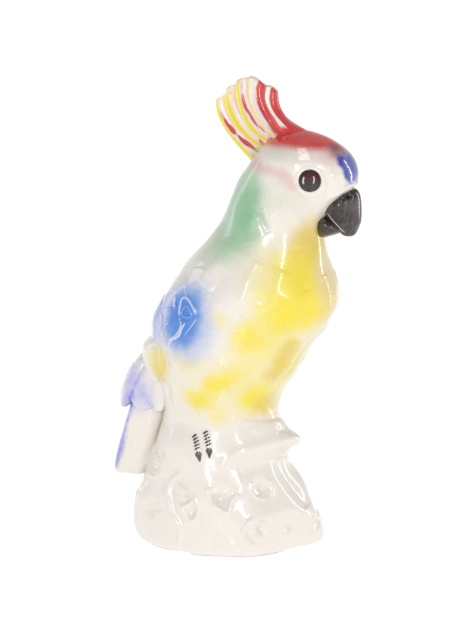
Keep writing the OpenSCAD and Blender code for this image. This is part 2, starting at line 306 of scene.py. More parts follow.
# Middle along X, height, half length and half width, from the rock's foot to the crown.
CLAY_RINGS = [
    (0.5, 0.0, 57, 44), (0.5, 1.2, 60, 46.6), (0, 6, 61.0, 47.3), (-1, 12, 60.8, 47.3), (-2.5, 21, 58.3, 46.6),
    (-5.6, 31, 53, 45), (-6.0, 41.5, 48, 43), (-7.4, 52, 44, 41.5), (-7, 60, 43, 40), (-6.7, 69, 41, 38.5),
    (-6.7, 80, 36.5, 34), (-6.7, 92, 37, 36), (-6, 103, 41.5, 38.5), (-4.5, 114, 47, 41), (1, 134, 54, 44.3),
    (12, 158, 56, 44.6), (17.7, 181, 46.7, 38), (26.3, 202, 33.6, 28.4), (29.7, 212, 32.5, 28),
    (36.7, 222, 35.3, 29), (43, 230, 38, 30), (45.7, 238, 37.5, 30), (47.5, 246, 33.2, 28.4),
    (47.2, 252, 29.7, 25.4), (46.2, 257.5, 24.2, 20.6), (45.2, 262, 17, 15), (44.5, 265.2, 8, 7),
    (44.5, 266, 2.5, 2.2),
]

# The swelling on the crown that the plumes grow from, given the same way.
CREST_ROOT_RINGS = [
    (37, 238, 15, 9), (33, 247, 16, 10), (30.5, 254, 15.5, 9.2), (29, 260, 14.5, 7.4), (27, 265, 12, 5.0),
    (24, 270, 10, 3.6), (21, 274, 8, 2.8), (19, 277, 6, 2),
]


def model_clay():
    clay = draw_up("clay", [(x, 0, z, a, b) for x, z, a, b in CLAY_RINGS])
    finish_with(clay, "SUBSURF", levels=3, render_levels=3)
    swell(clay, [
        # the rock: its ledge, the lobe under it, and the bulges behind and on the far side
        ((36, -2, 72), (1, -0.05, -0.25), (15, 12, 7.5), 15.0, 1.5),
        ((47, 16, 40), (1, 0.35, 0), (14, 16, 13), 5.0, 2),
        ((52, -6, 30), (1, -0.3, 0), (12, 12, 12), 1.5, 2),
        ((-48, -20, 26), (-1, -0.45, 0), (15, 16, 22), 4.6, 2),
        ((-50, -28, 10), (-1, -0.4, 0), (14, 14, 13), 1.6, 2),
        ((-52, 14, 26), (-1, 0.4, 0), (15, 18, 14), 2.0, 2),
        ((0, 46, 30), (0, 1, 0), (22, 12, 18), 1.6, 2),
        # the bird: breast, belly and face pulled forward, cheeks pressed in
        ((68, 0, 157), (1, 0, 0.05), (20, 26, 20), 4.6, 2),
        ((52, -22, 156), (0.7, -0.7, 0), (22, 18, 18), 1.6, 2),
        ((52, 22, 156), (0.7, 0.7, 0), (22, 18, 18), 1.6, 2),
        ((40, 0, 112), (1, 0, -0.2), (14, 26, 10), 1.5, 2),
        ((74, 0, 222), (1, 0, 0), (16, 9, 10), 2.0, 2),
        ((60, -20, 210), (0, 1, 0), (10, 9, 9), 2.5, 2),
        ((60, 20, 210), (0, -1, 0), (10, 9, 9), 2.5, 2),
    ])
    shave(clay, (0.843, -0.538, 0), 40.5, 0.22, 44, 26)
    shave(clay, (-0.50, -0.866, 0), 49.5, 0.02, 60, 30)
    shave(clay, (0.228, -0.974, 0), 42.0, 0.04, 40, 26)
    shave(clay, (-0.75, 0.66, 0), 49, 0.05, 55, 30)
    crest_root = draw_up("crest root", [(x, 0, z, a, b) for x, z, a, b in CREST_ROOT_RINGS])
    finish_with(crest_root, "SUBSURF", levels=3, render_levels=3)
    join_into(clay, [crest_root])
    fuse(clay, 0.76, 14)
    return clay


SEAT_CREASE = [
    (17, -26, 86), (20, -22, 85.6), (24.9, -15.8, 84.2), (28.5, -6.6, 81.8), (30, 6, 80), (28, 13, 81), (20, 24, 83),
    (8, 31, 84),
]

BODY_MARKS = both_sides([
    # breast fold, its lip, and the folds of the belly and thigh
    ([(60, 1, 140), (57, -3.9, 136.4), (54.1, -7.7, 132.8), (47.1, -6.7, 121.6), (41.5, -8.5, 113.7),
      (35.4, -15.7, 108.7)], 2.6, -1.9),
    ([(61, -7, 141), (56, -14, 135), (49, -15, 124), (43, -17, 115), (36, -22, 109)], 3.6, 1.1),
    ([(52, -22, 146), (47, -27, 136), (38, -30, 124)], 5, -0.6),
    ([(24, -33, 116), (27, -27, 104), (26, -19, 93)], 4.5, -0.9),
    ([(14, -37, 104), (2, -37, 94), (-8, -35, 88)], 5, 0.8),
    ([(34, -32, 150), (20, -41, 128), (4, -41, 114)], 7, 0.7),
    ([(30, -36, 166), (24, -41, 152)], 6, -0.5),
    ([(46, -31, 182), (40, -36, 168), (38, -38, 156)], 5, 0.6),
    ([(52, -22, 196), (54, -24, 182), (58, -24, 168)], 4, -0.5),
    ([(66, -10, 178), (69, -10, 166), (68, -12, 154)], 3.5, 0.8),
    ([(-24, -33, 108), (-27, -31, 96), (-26, -31, 86)], 2.5, 0.7),
    ([(-30, -30, 106), (-33, -27, 94)], 2.5, -0.7),
    # neck and cheek feathers
    ([(31, -28, 219), (33, -28.5, 214), (37, -27.5, 206)], 1.7, 0.9),
    ([(29.5, -29, 217), (31, -28, 210), (35, -28, 204)], 2.4, -0.8),
    ([(24, -27, 214), (20, -27, 204), (22, -29, 196)], 4, 0.6),
    ([(44, -29, 225), (50, -27, 216), (55, -22, 209)], 3, 0.6),
    ([(10, -30, 196), (2, -35, 184), (-6, -37, 172)], 4.5, 0.9),
    ([(16, -33, 190), (8, -39, 176), (2, -43, 166)], 5, -0.7),
    ([(30, -34, 187), (25, -38, 176), (22, -43, 162)], 3.5, 0.9),
    ([(2, -43, 168), (4, -45, 154), (2, -44, 140)], 5, 0.6),
    # brow, eye ring and the hollow in front of the eye
    ([(50, -27, 247), (60, -24, 248), (69, -17, 244)], 3.2, 0.9),
    ([(34, -27, 250), (42, -28, 248)], 3.5, 0.6),
    ([(68, -20, 239), (70, -19, 233), (68, -19, 227)], 2.6, -0.8),
    ([(72, -18, 242), (73, -17, 235)], 1.6, 0.7),
    ([(71, -15, 227), (77, -10, 231.4), (83, -3, 233.8)], 1.2, 0.7),
]) + [(SEAT_CREASE, 1.5, -0.8), ([(24, -24, 78), (32, -10, 79), (33, 4, 78), (26, 18, 78)], 4, 0.8)]

ROCK_MARKS = [
    # the swirl behind the toes
    ([(-42.7, -18.3, 61.5), (-33.3, -29.5, 59.9), (-31.7, -32.5, 52.9), (-37, -30.7, 43.8), (-46.4, -21, 42.9),
      (-47, -14, 52), (-42.7, -18.3, 61.5)], 1.2, 0.7),
    ([(-43.6, -18.4, 58), (-36.1, -28.1, 55.9), (-36.7, -29, 50.8), (-41.7, -24.5, 47), (-45, -19, 52.3),
      (-43, -20, 56.2)], 1.2, -0.8),
    ([(-40.2, -24.8, 53.1)], 5.5, -0.9),
    # the near corner and the two torn pits beside it
    ([(-21.5, -39.5, 50), (-27.2, -37.5, 43), (-26.9, -39.5, 35.7), (-24.4, -42, 26.2), (-18.9, -44.6, 19.5),
      (-17.2, -45.5, 14.7), (-18.4, -45.9, 5.1)], 1.9, 1.5),
    ([(-33, -34, 44), (-36, -33, 34), (-33, -36, 24)], 4.5, -1.2),
    ([(-16.1, -42.4, 37), (-13, -43.5, 33)], 3.6, -2.2), ([(-9.7, -44.9, 28.2)], 4.2, -1.8),
    ([(-20.8, -39.5, 44), (-13.3, -42.4, 39.5), (-7.4, -43.8, 35.1), (-5.2, -45.1, 29.5),
      (-9.4, -45.9, 21.6)], 1.1, 0.8),
    ([(-9.4, -45.9, 21.6), (-15.5, -43.9, 28), (-19.8, -42.2, 33)], 0.9, 0.6),
    ([(-17, -43, 30.5), (-12, -44, 33.5)], 0.9, 0.8),
    ([(9.2, -40.5, 38.3)], 5.2, -2.6), ([(4, -42, 41), (9, -42, 33)], 2.6, -1.0),
    ([(-0.5, -41.9, 42.1), (2.3, -43.5, 35), (7.6, -43.4, 31.1), (13.3, -43.1, 27.7), (14.6, -40.7, 31.9),
      (15, -38.5, 37.4), (18.8, -36, 38.7)], 1.3, 1.3),
    ([(-0.5, -41.5, 43), (6, -40, 40.5), (13, -37.5, 41)], 1.2, 0.6),
    # thumb dimples
    ([(28.4, -25.7, 40.8)], 4.6, -2.4),
    ([(23.6, -28.8, 46), (23.6, -30.3, 40.5), (27, -29.6, 36), (32.3, -26, 35)], 1.1, 0.9),
    ([(33.6, -21.6, 36), (33.8, -20, 41), (31.5, -20.6, 46)], 1.1, 0.9),
    ([(34.4, -36.3, 18.4)], 4.2, -2.2),
    ([(32, -36.5, 22.6), (36, -34.5, 22), (39.6, -33, 18), (38.6, -34.5, 13.6)], 1.1, 1.0),
    ([(30.5, -39, 15)], 7.5, -1.0),
    ([(28, -37.6, 25.5), (22.8, -42.3, 18.5), (25, -42.8, 12.7), (30.5, -41, 7)], 1.2, 1.1),
    ([(49, -23, 14), (53, -20, 16.5)], 2.2, -1.3),
    ([(55.1, 11.1, 22), (58.4, 9.2, 16.6), (61, 4, 9.4), (61.2, -2, 8.3), (59.1, -3.9, 15.6),
      (57.2, 0.3, 21.4)], 1.1, 0.7),
    ([(59, 3, 15)], 3.2, -1.2),
    ([(-50, -20, 36), (-52, -18, 28)], 4.5, -1.8), ([(-41.4, -33.8, 24.4)], 5, -1.3),
    ([(-4, -44, 18), (10, -44, 14), (20, -43.5, 9)], 8, 0.6),
    # the ledge: its lip, the hollow under it, and the valley down to the far lobe
    ([(8.8, -37.3, 55.5), (9, -36.3, 59.6), (14.8, -31.8, 64.2), (24.8, -23.5, 67.5), (36, -12, 69.5),
      (44, -4, 70)], 4.0, 1.0),
    ([(40, -9, 70), (46, -1, 70), (42, 8, 70.5), (33, 18, 70)], 3.2, 1.5),
    ([(40, -4, 77), (35, -10, 78)], 4.0, -0.8),
    ([(18, -36, 54), (28, -27, 57), (38, -8, 60)], 6, -1.2),
    ([(37.3, -6.4, 58), (39.1, -7.6, 46.1), (45.5, -3.7, 35.3), (53.1, -2.2, 26)], 6, -1.8),
    # the sides that face away
    ([(-52, 6, 40)], 7, -2.0), ([(-40, 30, 30), (-30, 38, 20)], 6, -2.0), ([(-6, 42, 46), (-2, 43, 36)], 5, -2.2),
    ([(20, 42, 26), (28, 38, 20)], 5.5, -2.0), ([(36, 28, 48)], 6, -2.0), ([(-20, 40, 60), (-10, 38, 66)], 5, -1.2),
    ([(8, 45, 44), (2, 47, 24), (6, 47, 8)], 2.2, 1.5), ([(-46, 22, 54), (-50, 24, 34), (-52, 22, 14)], 2.4, 1.4),
    ([(-20, 44, 34), (-14, 46, 26), (-18, 47, 16)], 1.4, 1.1), ([(30, 38, 36), (36, 36, 26), (34, 38, 14)], 1.5, 1.1),
    ([(-56, -6, 30), (-58, -2, 18), (-57, 4, 12)], 1.4, 1.0), ([(-54, 0, 24)], 4, -1.4),
    ([(12, 40, 60), (22, 34, 64)], 4, 1.2),
]
ROCK_TOOL_FORCE = 1.2

# The right eye: its middle on the face, the way its socket faces, and the way its dome looks.
EYE_AT = (60.9, -27.0, 237.3)
EYE_OUT = (0.50, -0.86, 0.10)
EYE_LOOK = (0.369, -0.913, 0.174)
EYE_RING_RADIUS = 8.1

WIDEST = 47.4  # half the clay's greatest width


def eye_ring(centre, out, radius, count=24):
    """A circle round an eye, lying on the face."""
    out = Vector(out).normalized()
    side = out.cross(Vector((0, 0, 1))).normalized()
    up = side.cross(out)
    turns = [2 * math.pi * k / count for k in range(count + 1)]
    return [tuple(Vector(centre) + (side * math.cos(t) + up * math.sin(t)) * radius) for t in turns]


def clay_waves(piece):
    """Slow swells left by hands and by thick glaze, a little stronger on the rock."""
    co, no = points_of(piece), normals_of(piece)
    wave = np.zeros(len(co))
    for rate, phase, high in [
        ((0.11, 0.07, 0.09), 0.4, 0.24), ((-0.08, 0.13, 0.12), 1.9, 0.24), ((0.17, -0.12, 0.15), 3.1, 0.22),
        ((0.05, 0.21, -0.19), 4.4, 0.16), ((0.29, 0.11, 0.24), 0.9, 0.07),
    ]:
        wave += high * np.sin(co @ np.array(rate) + phase)
    rock = smooth_step((82 - co[:, 2]) / 10) * smooth_step(co[:, 2] / 10)
    wave *= 0.8 + 0.3 * rock
    set_points(piece, co + no * wave[:, None])


def keep_width(piece, most):
    """Presses what stands out too far sideways back towards the middle."""
    co = points_of(piece)
    over = np.abs(co[:, 1]) - (most - 1)
    pressed = np.sign(co[:, 1]) * (most - np.exp(-np.maximum(over, 0)))
    co[:, 1] = np.where(over > 0, pressed, co[:, 1])
    set_points(piece, co)


clay = model_clay()
tool_marks(clay, BODY_MARKS + [(line, width, height * ROCK_TOOL_FORCE) for line, width, height in ROCK_MARKS])
tool_marks(clay, both_sides([(eye_ring(EYE_AT, EYE_OUT, EYE_RING_RADIUS), 1.0, 0.6), ([EYE_AT], 5.5, -0.7)]))
clay_waves(clay)
keep_width(clay, WIDEST)
clay_tree = tree_of(clay)


def on_clay(place, towards):
    """The clay's surface in mm, seen from far outside along a direction, and which way it faces."""
    hit, normal, _, _ = clay_tree.ray_cast((Vector(place) + Vector(towards) * -200) * MM, Vector(towards))
    if hit is None:
        hit, normal, _, _ = clay_tree.find_nearest(Vector(place) * MM)
    return np.array(hit) / MM, np.array(normal)


# ---------- wings ----------

def body_middle(z):
    """The clay's middle along X at a height."""
    heights = [r[1] for r in CLAY_RINGS]
    return float(np.interp(z, heights, [r[0] for r in CLAY_RINGS]))


def inside_by(points, outline):
    """How deep each point lies inside an outline: negative outside."""
    outline = np.asarray(outline, float)
    best = np.full(len(points), 1e9)
    inside = np.zeros(len(points), bool)
    for a, b in zip(outline, np.roll(outline, -1, 0)):
        ab = b - a
        t = np.clip(((points - a) @ ab) / (ab @ ab), 0, 1)
        best = np.minimum(best, np.linalg.norm(points - (a + t[:, None] * ab), axis=1))
        crosses = (a[1] > points[:, 1]) != (b[1] > points[:, 1])
        x = a[0] + (points[:, 1] - a[1]) / (b[1] - a[1] if b[1] != a[1] else 1e-9) * (b[0] - a[0])
        inside ^= crosses & (points[:, 0] < x)
    return np.where(inside, best, -best)


# Outlines on the flank: how far back round the body, and the height, both in mm.
SHOULDER_OUTLINE = [
    (-20, 174), (-6, 184), (12, 182), (30, 172), (38, 152), (37, 131), (16, 130), (4, 128), (-4, 132), (-12, 142),
    (-20, 156),
]
FLIGHT_OUTLINE = [
    (4, 136), (2, 122), (-0.5, 115), (2, 108), (9, 103.5), (20, 103), (31, 107), (38, 118), (38, 136),
]
WING_RIDGES = [
    ([(-27.4, -27.1, 164.4), (-31.5, -25.9, 160), (-31.9, -27.7, 156.2), (-35.6, -26.9, 150.5), (-32.6, -30.9, 147.4),
      (-34.3, -31.5, 140.7), (-31.2, -34.6, 134.7)], 0.75, 0.8),
    ([(-25.5, -29.5, 163.3), (-28.9, -28.6, 159.7), (-28.9, -31.5, 153.5), (-26.4, -33.5, 153.2),
      (-23.6, -33.3, 158.5), (-23, -31.8, 162.7), (-25.5, -29.5, 163.3)], 0.6, 0.55),
    ([(-23.2, -32.6, 161.5), (-23.3, -34.3, 156.5), (-20.9, -37.2, 151.5), (-17.9, -39.1, 149.2)], 0.9, 1.2),
    ([(-18.5, -38.5, 150.8), (-18.8, -36.7, 156.7), (-17.9, -35.5, 161.2), (-14.3, -36.8, 162.6),
      (-10.2, -39.8, 158.6), (-7.5, -41.9, 152.9)], 0.8, 0.9),
    ([(-14.4, -38.4, 157.9), (-17.9, -38.3, 153), (-15.8, -39.7, 150.4), (-10.2, -41.4, 151.3), (-12.1, -39.7, 156.5),
      (-14.4, -38.4, 157.9)], 0.55, 0.5),
    ([(-16.9, -31.2, 171.4), (-14.6, -36.5, 163.1)], 0.7, 0.6),
    ([(-29.5, -33.5, 146.5), (-27.9, -33.7, 149.4), (-23.3, -35.9, 151.7), (-22.2, -36.9, 150.1),
      (-27.3, -34.9, 146.8), (-29.5, -33.5, 146.5)], 0.55, 0.5),
    ([(-31, -34.7, 135.2), (-32.3, -33.1, 139.7), (-29.4, -34.4, 143.4), (-22, -37.4, 148.4), (-16.9, -39.8, 148),
      (-18.2, -40, 143.1), (-22.4, -38.9, 137.5), (-29.9, -35.4, 134.5)], 0.65, 0.65),
    ([(-14.5, -40.7, 147.7), (-17.1, -40.4, 143.2), (-19.7, -39.9, 138.7), (-22.4, -39, 137.2), (-26.6, -37.3, 133.9),
      (-28.7, -36.3, 129.4), (-30.1, -35.3, 121.9), (-28.7, -34.9, 113.9)], 0.85, 1.0),
    ([(-7.1, -42.3, 150.8), (-11.4, -42, 144.7), (-16.5, -41.1, 138.1), (-18.5, -40.5, 134.3)], 0.7, 0.6),
    ([(-21.9, -39.2, 137), (-19.6, -40.2, 132)], 0.6, 0.5),
    ([(-40, -15, 160.6), (-35, -26, 155.6), (-38, -27, 147.9), (-41, -27.5, 137), (-42, -27, 132)], 1.6, -0.8),
    ([(-24.8, -24, 172.1), (-24.3, -29.5, 165)], 1.0, 0.6),
    ([(-46, -20, 128), (-50, -20, 117), (-49, -20, 109)], 1.4, -0.7),
    ([(-38, -30, 128), (-41, -28, 118), (-40, -28, 109)], 1.2, -0.6),
    ([(-34, -33, 126), (-36, -31, 116), (-33, -32, 108)], 0.8, 0.4),
    ([(-48, -14, 156), (-52, -13, 144), (-52, -12, 133)], 1.8, -0.5),
]
# The pressed shell: its reach round the body in degrees and up it, the turn that its outlines count from,
# and its thickness.
WING_TURNS, WING_HEIGHTS = (94, 172), (101.5, 187)
OUTLINE_TURN, MM_PER_DEGREE = 125, 0.8
WING_THICK = 2.2


def wing_height(s, z):
    """How far the wing stands off the clay in mm: negative where it is sunk, outside its outlines."""
    deep = inside_by(np.stack([s, z], 1), SHOULDER_OUTLINE)
    back = smooth_step((s + 16) / 20)
    shoulder = smooth_step(deep / (9.5 - 6.9 * back)) * 1.5 + smooth_step((deep - 2) / 14) * (0.3 + 1.6 * back)
    flight = smooth_step(inside_by(np.stack([s, z], 1), FLIGHT_OUTLINE) / 2.6)
    flight *= smooth_step((137 - z) / 13)
    return np.maximum(-0.7 + shoulder, -0.7 + flight * (2.3 + 4.2 * smooth_step((s - 12) / 14)))


def model_wing():
    """A thin shell pressed on the flank: sunk at its front and top, proud at its back and lower edges."""
    across, up = 132, 150
    turns, heights = np.linspace(*WING_TURNS, across), np.linspace(*WING_HEIGHTS, up)
    outer, inner = [], []
    for z in heights:
        middle = body_middle(z)
        row, row_in = [], []
        for turn in turns:
            a = math.radians(turn)
            out = Vector((math.cos(a), -math.sin(a), 0))
            spot, facing = on_clay((middle, 0, z), -out)
            facing = np.array(out) * 0.75 + facing * 0.25
            facing /= np.linalg.norm(facing)
            row.append((spot, facing))
            row_in.append(spot - facing * WING_THICK)
        s = (turns - OUTLINE_TURN) * MM_PER_DEGREE
        h = wing_height(s, np.full(across, z))
        outer.append([spot + facing * k for (spot, facing), k in zip(row, h)])
        inner.append(row_in)
    # each ring runs over the outside and comes back underneath
    rings = [list(o) + list(i)[::-1] for o, i in zip(outer, inner)]
    return skin("right_wing", rings)


def relief_attribute(piece, before):
    """Keeps how far each point was raised by the tool, which is where the glaze runs thin."""
    after = points_of(piece)
    raised = ((after - before) * normals_of(piece)).sum(1)
    piece.data.attributes.new("raised", "FLOAT", "POINT").data.foreach_set("value", raised.astype(np.float32))


right_wing = model_wing()
wing_before = points_of(right_wing)
tool_marks(right_wing, WING_RIDGES)
relief_attribute(right_wing, wing_before)
left_wing = other_side(right_wing, "left_wing")


# ---------- tail and its coverts ----------

# How far out a rounded square pushes a round bar's corners, and how square it is.
TAIL_SQUARE, TAIL_SQUARE_POWER = 0.75, 3.4
TAIL_BACK, TAIL_DOWN = 5.2, 2.4
COVERTS_BACK, COVERTS_DOWN = 4.6, 0.6


def soften(piece, levels=2):
    finish_with(piece, "SUBSURF", levels=levels, render_levels=levels)
    return piece


def feather(name, rings, sides=12):
    return soften(draw_up(name, rings, sides))


def tail_middle(z):
    """The tail's middle along X at a height."""
    return np.interp(z, [44, 54, 66, 79, 92, 106, 122], [-63, -60.8, -57.5, -53.5, -49.5, -46, -41])


def square_up(slab):
    """Pushes the corners of the round tail out to a flat slab's."""
    co = points_of(slab)
    middle = tail_middle(co[:, 2])
    dx, dy = (co[:, 0] - middle) / 11, co[:, 1] / 18.5
    round_ = np.sqrt(dx ** 2 + dy ** 2) + 1e-9
    power = TAIL_SQUARE_POWER
    square = round_ / (np.abs(dx) ** power + np.abs(dy) ** power + 1e-9) ** (1 / power)
    co[:, 0] = middle + (co[:, 0] - middle) * (1 + TAIL_SQUARE * (square - 1))
    co[:, 1] *= 1 + TAIL_SQUARE * (square - 1)
    set_points(slab, co)


def model_tail():
    """A slab of long feathers, thicker at the back, with a thin tier under it."""
    slab = feather("tail", [
        (-41, 0, 122, 5, 12), (-46, 0, 106, 9.5, 15.5), (-49.5, 0, 92, 10.5, 17), (-53.5, 0, 79, 10.4, 17.6),
        (-57.5, 0, 66, 10.3, 18), (-60.8, 0, 54, 10.3, 17.8), (-62.3, 0, 47.5, 10.2, 17), (-63, 0, 44, 9.2, 15.6),
        (-63.2, 0, 42.6, 7, 12.5), (-63.2, 0, 42.3, 3, 6),
    ], 16)
    square_up(slab)
    under = feather("under tail", [
        (-44, 0, 70, 4, 10), (-48, 0, 60, 6, 13), (-50.5, 0, 50, 6.6, 13.8), (-52, 0, 44.5, 5.6, 12),
        (-52.8, 0, 41.6, 3.2, 8), (-53, 0, 40.6, 1.2, 3),
    ])
    join_into(slab, [under])
    fuse(slab, 0.7, 6)
    co = points_of(slab)
    co[:, 0] -= TAIL_BACK * smooth_step((tail_middle(co[:, 2]) + 4 - co[:, 0]) / 10)
    co[:, 2] -= TAIL_DOWN
    set_points(slab, co)
    tool_marks(slab, both_sides([
        ([(-60, -18, 50), (-62, -17, 40)], 2.4, -1.2), ([(-54, -18, 50)], 5, -0.6),
        ([(-67, -9, 88), (-73, -9, 66), (-78, -9, 44)], 1.3, -0.5),
    ]) + [([(-71, 0, 88), (-75, 0, 66), (-79, 0, 44)], 1.6, -0.7)])
    return slab


def model_coverts():
    """Long feathers that lap over the root of the tail, fused like the clay."""
    middle = feather("tail_coverts", [
        (-44, 0, 128, 4, 9), (-50, 0, 119, 6.5, 12), (-55.5, 0, 110, 7.5, 12), (-60, 0, 101, 7.6, 11.5),
        (-63.5, 0, 93, 6.4, 9.5), (-66.6, 0, 87, 4.0, 6.5), (-68.6, 0, 83.5, 1.8, 3),
    ])
    sides = []
    for side in (-1, 1):
        sides.append(feather("inner covert", [
            (-43, side * 8, 126, 4, 6), (-48.5, side * 12, 116, 6, 7.5), (-53.5, side * 13.5, 106, 6.6, 7.8),
            (-58, side * 14, 96, 6, 7), (-61.5, side * 14, 89, 4, 5), (-63.6, side * 14, 85, 1.7, 2.4),
        ]))
        sides.append(feather("outer covert", [
            (-42, side * 15, 120, 5, 6.5), (-46, side * 17, 108, 7, 6), (-49.5, side * 17.6, 98, 7.4, 4.6),
            (-50.5, side * 18, 90, 6, 3.2), (-50, side * 18, 85, 3, 1.8),
        ]))
        sides.append(feather("flank covert", [
            (-37, side * 19, 114, 5, 6), (-40, side * 20, 102, 6, 4.6), (-42, side * 19.6, 92, 5, 3),
            (-41.5, side * 19, 84.5, 2.4, 1.6),
        ]))
    join_into(middle, sides)
    fuse(middle, 0.6, 5)
    co = points_of(middle)
    co[:, 0] -= COVERTS_BACK * smooth_step((-42 - co[:, 0]) / 12)
    co[:, 2] -= COVERTS_DOWN
    set_points(middle, co)
    before = points_of(middle)
    tool_marks(middle, both_sides([
        ([(-55, -12, 117), (-62, -8, 103), (-69, -6, 89)], 1.0, -1.1),
        ([(-51, -17, 115), (-58, -19, 101), (-62, -18, 90)], 1.0, -1.0),
        ([(-62, -18, 97), (-58, -21, 87), (-51, -21, 82)], 0.8, 0.8),
        ([(-52, -22, 93), (-48, -22, 86), (-44, -21, 81)], 0.8, 0.8),
        ([(-59, -16, 111), (-65, -16, 98), (-69, -14, 87)], 0.8, 0.8),
        ([(-63, -3, 111), (-70, -3, 97), (-75, -2, 85)], 0.9, 0.7),
        ([(-56, -19, 108), (-59, -20, 97)], 0.7, 0.6), ([(-66, -12, 104), (-70, -10, 92)], 0.7, 0.6),
    ]))
    relief_attribute(middle, before)
    return middle


tail = model_tail()
tail_coverts = model_coverts()


# ---------- crest ----------

# Lines between the plumes, (x, z) from inside the crown out to the tips, back to front.
CREST_LINES = [
    [(26, 236), (18, 241.5), (13, 246.7), (8, 251.5), (2.6, 257.1), (-2.9, 263.4), (-7.5, 271.2), (-9.7, 279.2),
     (-9.4, 283.7)],
    [(30, 246), (21, 254), (15.6, 257.4), (7.8, 263.6), (1.6, 269.8), (-2.6, 277.7), (-3.8, 283.5), (-1.6, 287.6)],
    [(32, 251), (26, 256), (19.9, 260.4), (13.7, 265), (8.9, 272.3), (5, 281.4), (3.4, 288.2), (4.2, 293.2)],
    [(36, 255), (31, 260), (25, 264.6), (19.2, 270.6), (14.4, 278), (11.6, 285.6), (11.3, 293.2), (12.6, 298)],
    [(41, 258), (37, 262), (32.6, 267), (29.6, 272.3), (26.5, 276.8), (23.7, 282), (22.5, 287.3), (23.4, 292.8)],
    [(60, 257), (52, 264.2), (43.5, 268.2), (37.3, 271.7), (33.5, 276.7), (31.5, 281.7), (31, 287.6), (30.8, 289.6)],
]
# Where each plume's back edge goes on to, above the plume behind it, and where its front edge stops short.
BACK_ENDS = [(-9.4, 282.6), (-2.2, 289.4), (4.2, 294.4), (12.8, 298.0), (24.0, 292.6)]
FRONT_ENDS = [(-3.4, 285.6), (3.3, 291.6), (11.6, 296.2), (23.2, 291.0), (31.0, 288.2)]
TIP_REACH = [1.0, 1.6, 1.5, 1.2, 1.0]
TIP_STEPS = (0.15, 0.3, 0.45, 0.6, 0.74, 0.86, 0.94, 0.985)
LAST_PLUME = len(TIP_REACH) - 1
PLUME_LAP = 0.12  # how far a plume's front edge reaches under the next one, as a part of its half width


def round_edge(x, power=2.0):
    """0 at an edge, then a round that reaches 1 where x does."""
    return np.sqrt(np.clip(1 - (1 - np.clip(x, 0, 1)) ** power, 0, 1))


def plume_half_thickness(i, across, t):
    """In mm: across runs from a plume's back edge (0) to its front one (1), t from its root to its tip."""
    thick = 4.3 + 4.6 * (1 - t) ** 1.35 + 3.5 * max(0.0, 0.22 - t) / 0.22
    rim = np.exp(-((across - 0.24) / 0.17) ** 2)
    lip = smooth_step(across / 0.1)
    if i == LAST_PLUME:
        return (thick - 0.2 + 0.7 * rim * lip) * round_edge((1 - across) / 0.55, 2.2)
    hollow = smooth_step((across - 0.35) / 0.4)
    relief = (1.5 * rim - 1.5 * hollow - 1.6 * (1 - lip)) * (0.35 + 0.65 * smooth_step(t / 0.35))
    return (thick + relief) * (round_edge(across / 0.3) if i == 0 else 1)


def model_plume(i):
    """One plume: a blade with a raised rim along its back edge and a hollow in front of it."""
    long, wide = 90, 30
    back = evenly(CREST_LINES[i][:-1] + [BACK_ENDS[i]], long)
    front = evenly(CREST_LINES[i + 1][:-1] + [FRONT_ENDS[i]], long)
    ahead = (back[-1] + front[-1]) / 2 - (back[-2] + front[-2]) / 2
    ahead /= np.linalg.norm(ahead)
    across = (1 - np.cos(np.linspace(0, math.pi, wide))) / 2
    lap = 0.0 if i == LAST_PLUME else PLUME_LAP
    sideways = (across * 2 - 1) * np.where(across > 0.5, 1 + lap, 1)
    rings, marks = [], []
    # up the blade, then on round its tip
    for k, beyond in [(k, 0.0) for k in range(long)] + [(long - 1, b) for b in TIP_STEPS]:
        t, turn = k / (long - 1), beyond * math.pi / 2
        shrink = math.cos(turn)
        centre = (back[k] + front[k]) / 2 + ahead * TIP_REACH[i] * math.sin(turn)
        half = (front[k] - back[k]) / 2 * shrink
        y = np.maximum(plume_half_thickness(i, across, t), 0.02) * (shrink ** 0.7 + 0.01)
        near = [(centre[0] + half[0] * c, -h, centre[1] + half[1] * c) for c, h in zip(sideways, y)]
        rings.append(near + [(x, -h, z) for x, h, z in near][::-1])
        place = [(c, t + 0.08 * beyond) for c in across]
        marks.append(place + place[::-1])
    piece = skin(f"crest_plume_{i + 1}", rings, marks)
    finish_with(piece, "SMOOTH", factor=0.4, iterations=2)
    return piece


plumes = [model_plume(i) for i in range(len(TIP_REACH))]


# ---------- beak, eyes and toes ----------

UPPER_BEAK_SHIFT, LOWER_BEAK_SHIFT = (-1.2, 0, -1.2), (-1.5, 0, -0.6)


def model_upper_beak():
    """The hooked half, with its ridge, its nostrils and the rims round them."""
    beak = soften(draw_up("upper_beak", [
        (78.8, 0, 201.6, 1.6, 2.0), (78.6, 0, 202.3, 4.0, 4.2), (78.2, 0, 204.9, 6.0, 6.6), (77.4, 0, 208, 8.0, 8.8),
        (76.1, 0, 211.1, 10.0, 10.6), (74.6, 0, 214.5, 11.8, 12.0), (74.0, 0, 220, 12.4, 13.0),
        (74.4, 0, 224.8, 11.6, 12.4), (75.8, 0, 228.4, 9.3, 10.4), (77.6, 0, 231, 5.8, 6.8),
        (78.2, 0, 232.4, 2.6, 3.2),
    ], 16), 3)
    tool_marks(beak, both_sides([
        ([(70, -13, 216), (74, -11.5, 210), (79, -7, 204.5)], 1.4, 0.35), ([(81, -9.5, 228)], 1.4, -2.6),
        ([(78, -11.6, 227), (79.4, -10.6, 230), (82, -8.8, 230.2), (83.8, -8, 227.4), (82.4, -9.4, 225),
          (79.6, -11, 225)], 0.8, 1.2),
        ([(76.4, -12, 226.4), (79, -11.2, 223.4), (81.4, -10, 222.4)], 1.3, 0.7),
    ]) + [([(84, 0, 234), (87.6, 0, 226), (87.8, 0, 218), (86.5, 0, 209)], 3.0, 0.5)])
    shift(beak, UPPER_BEAK_SHIFT)
    return beak


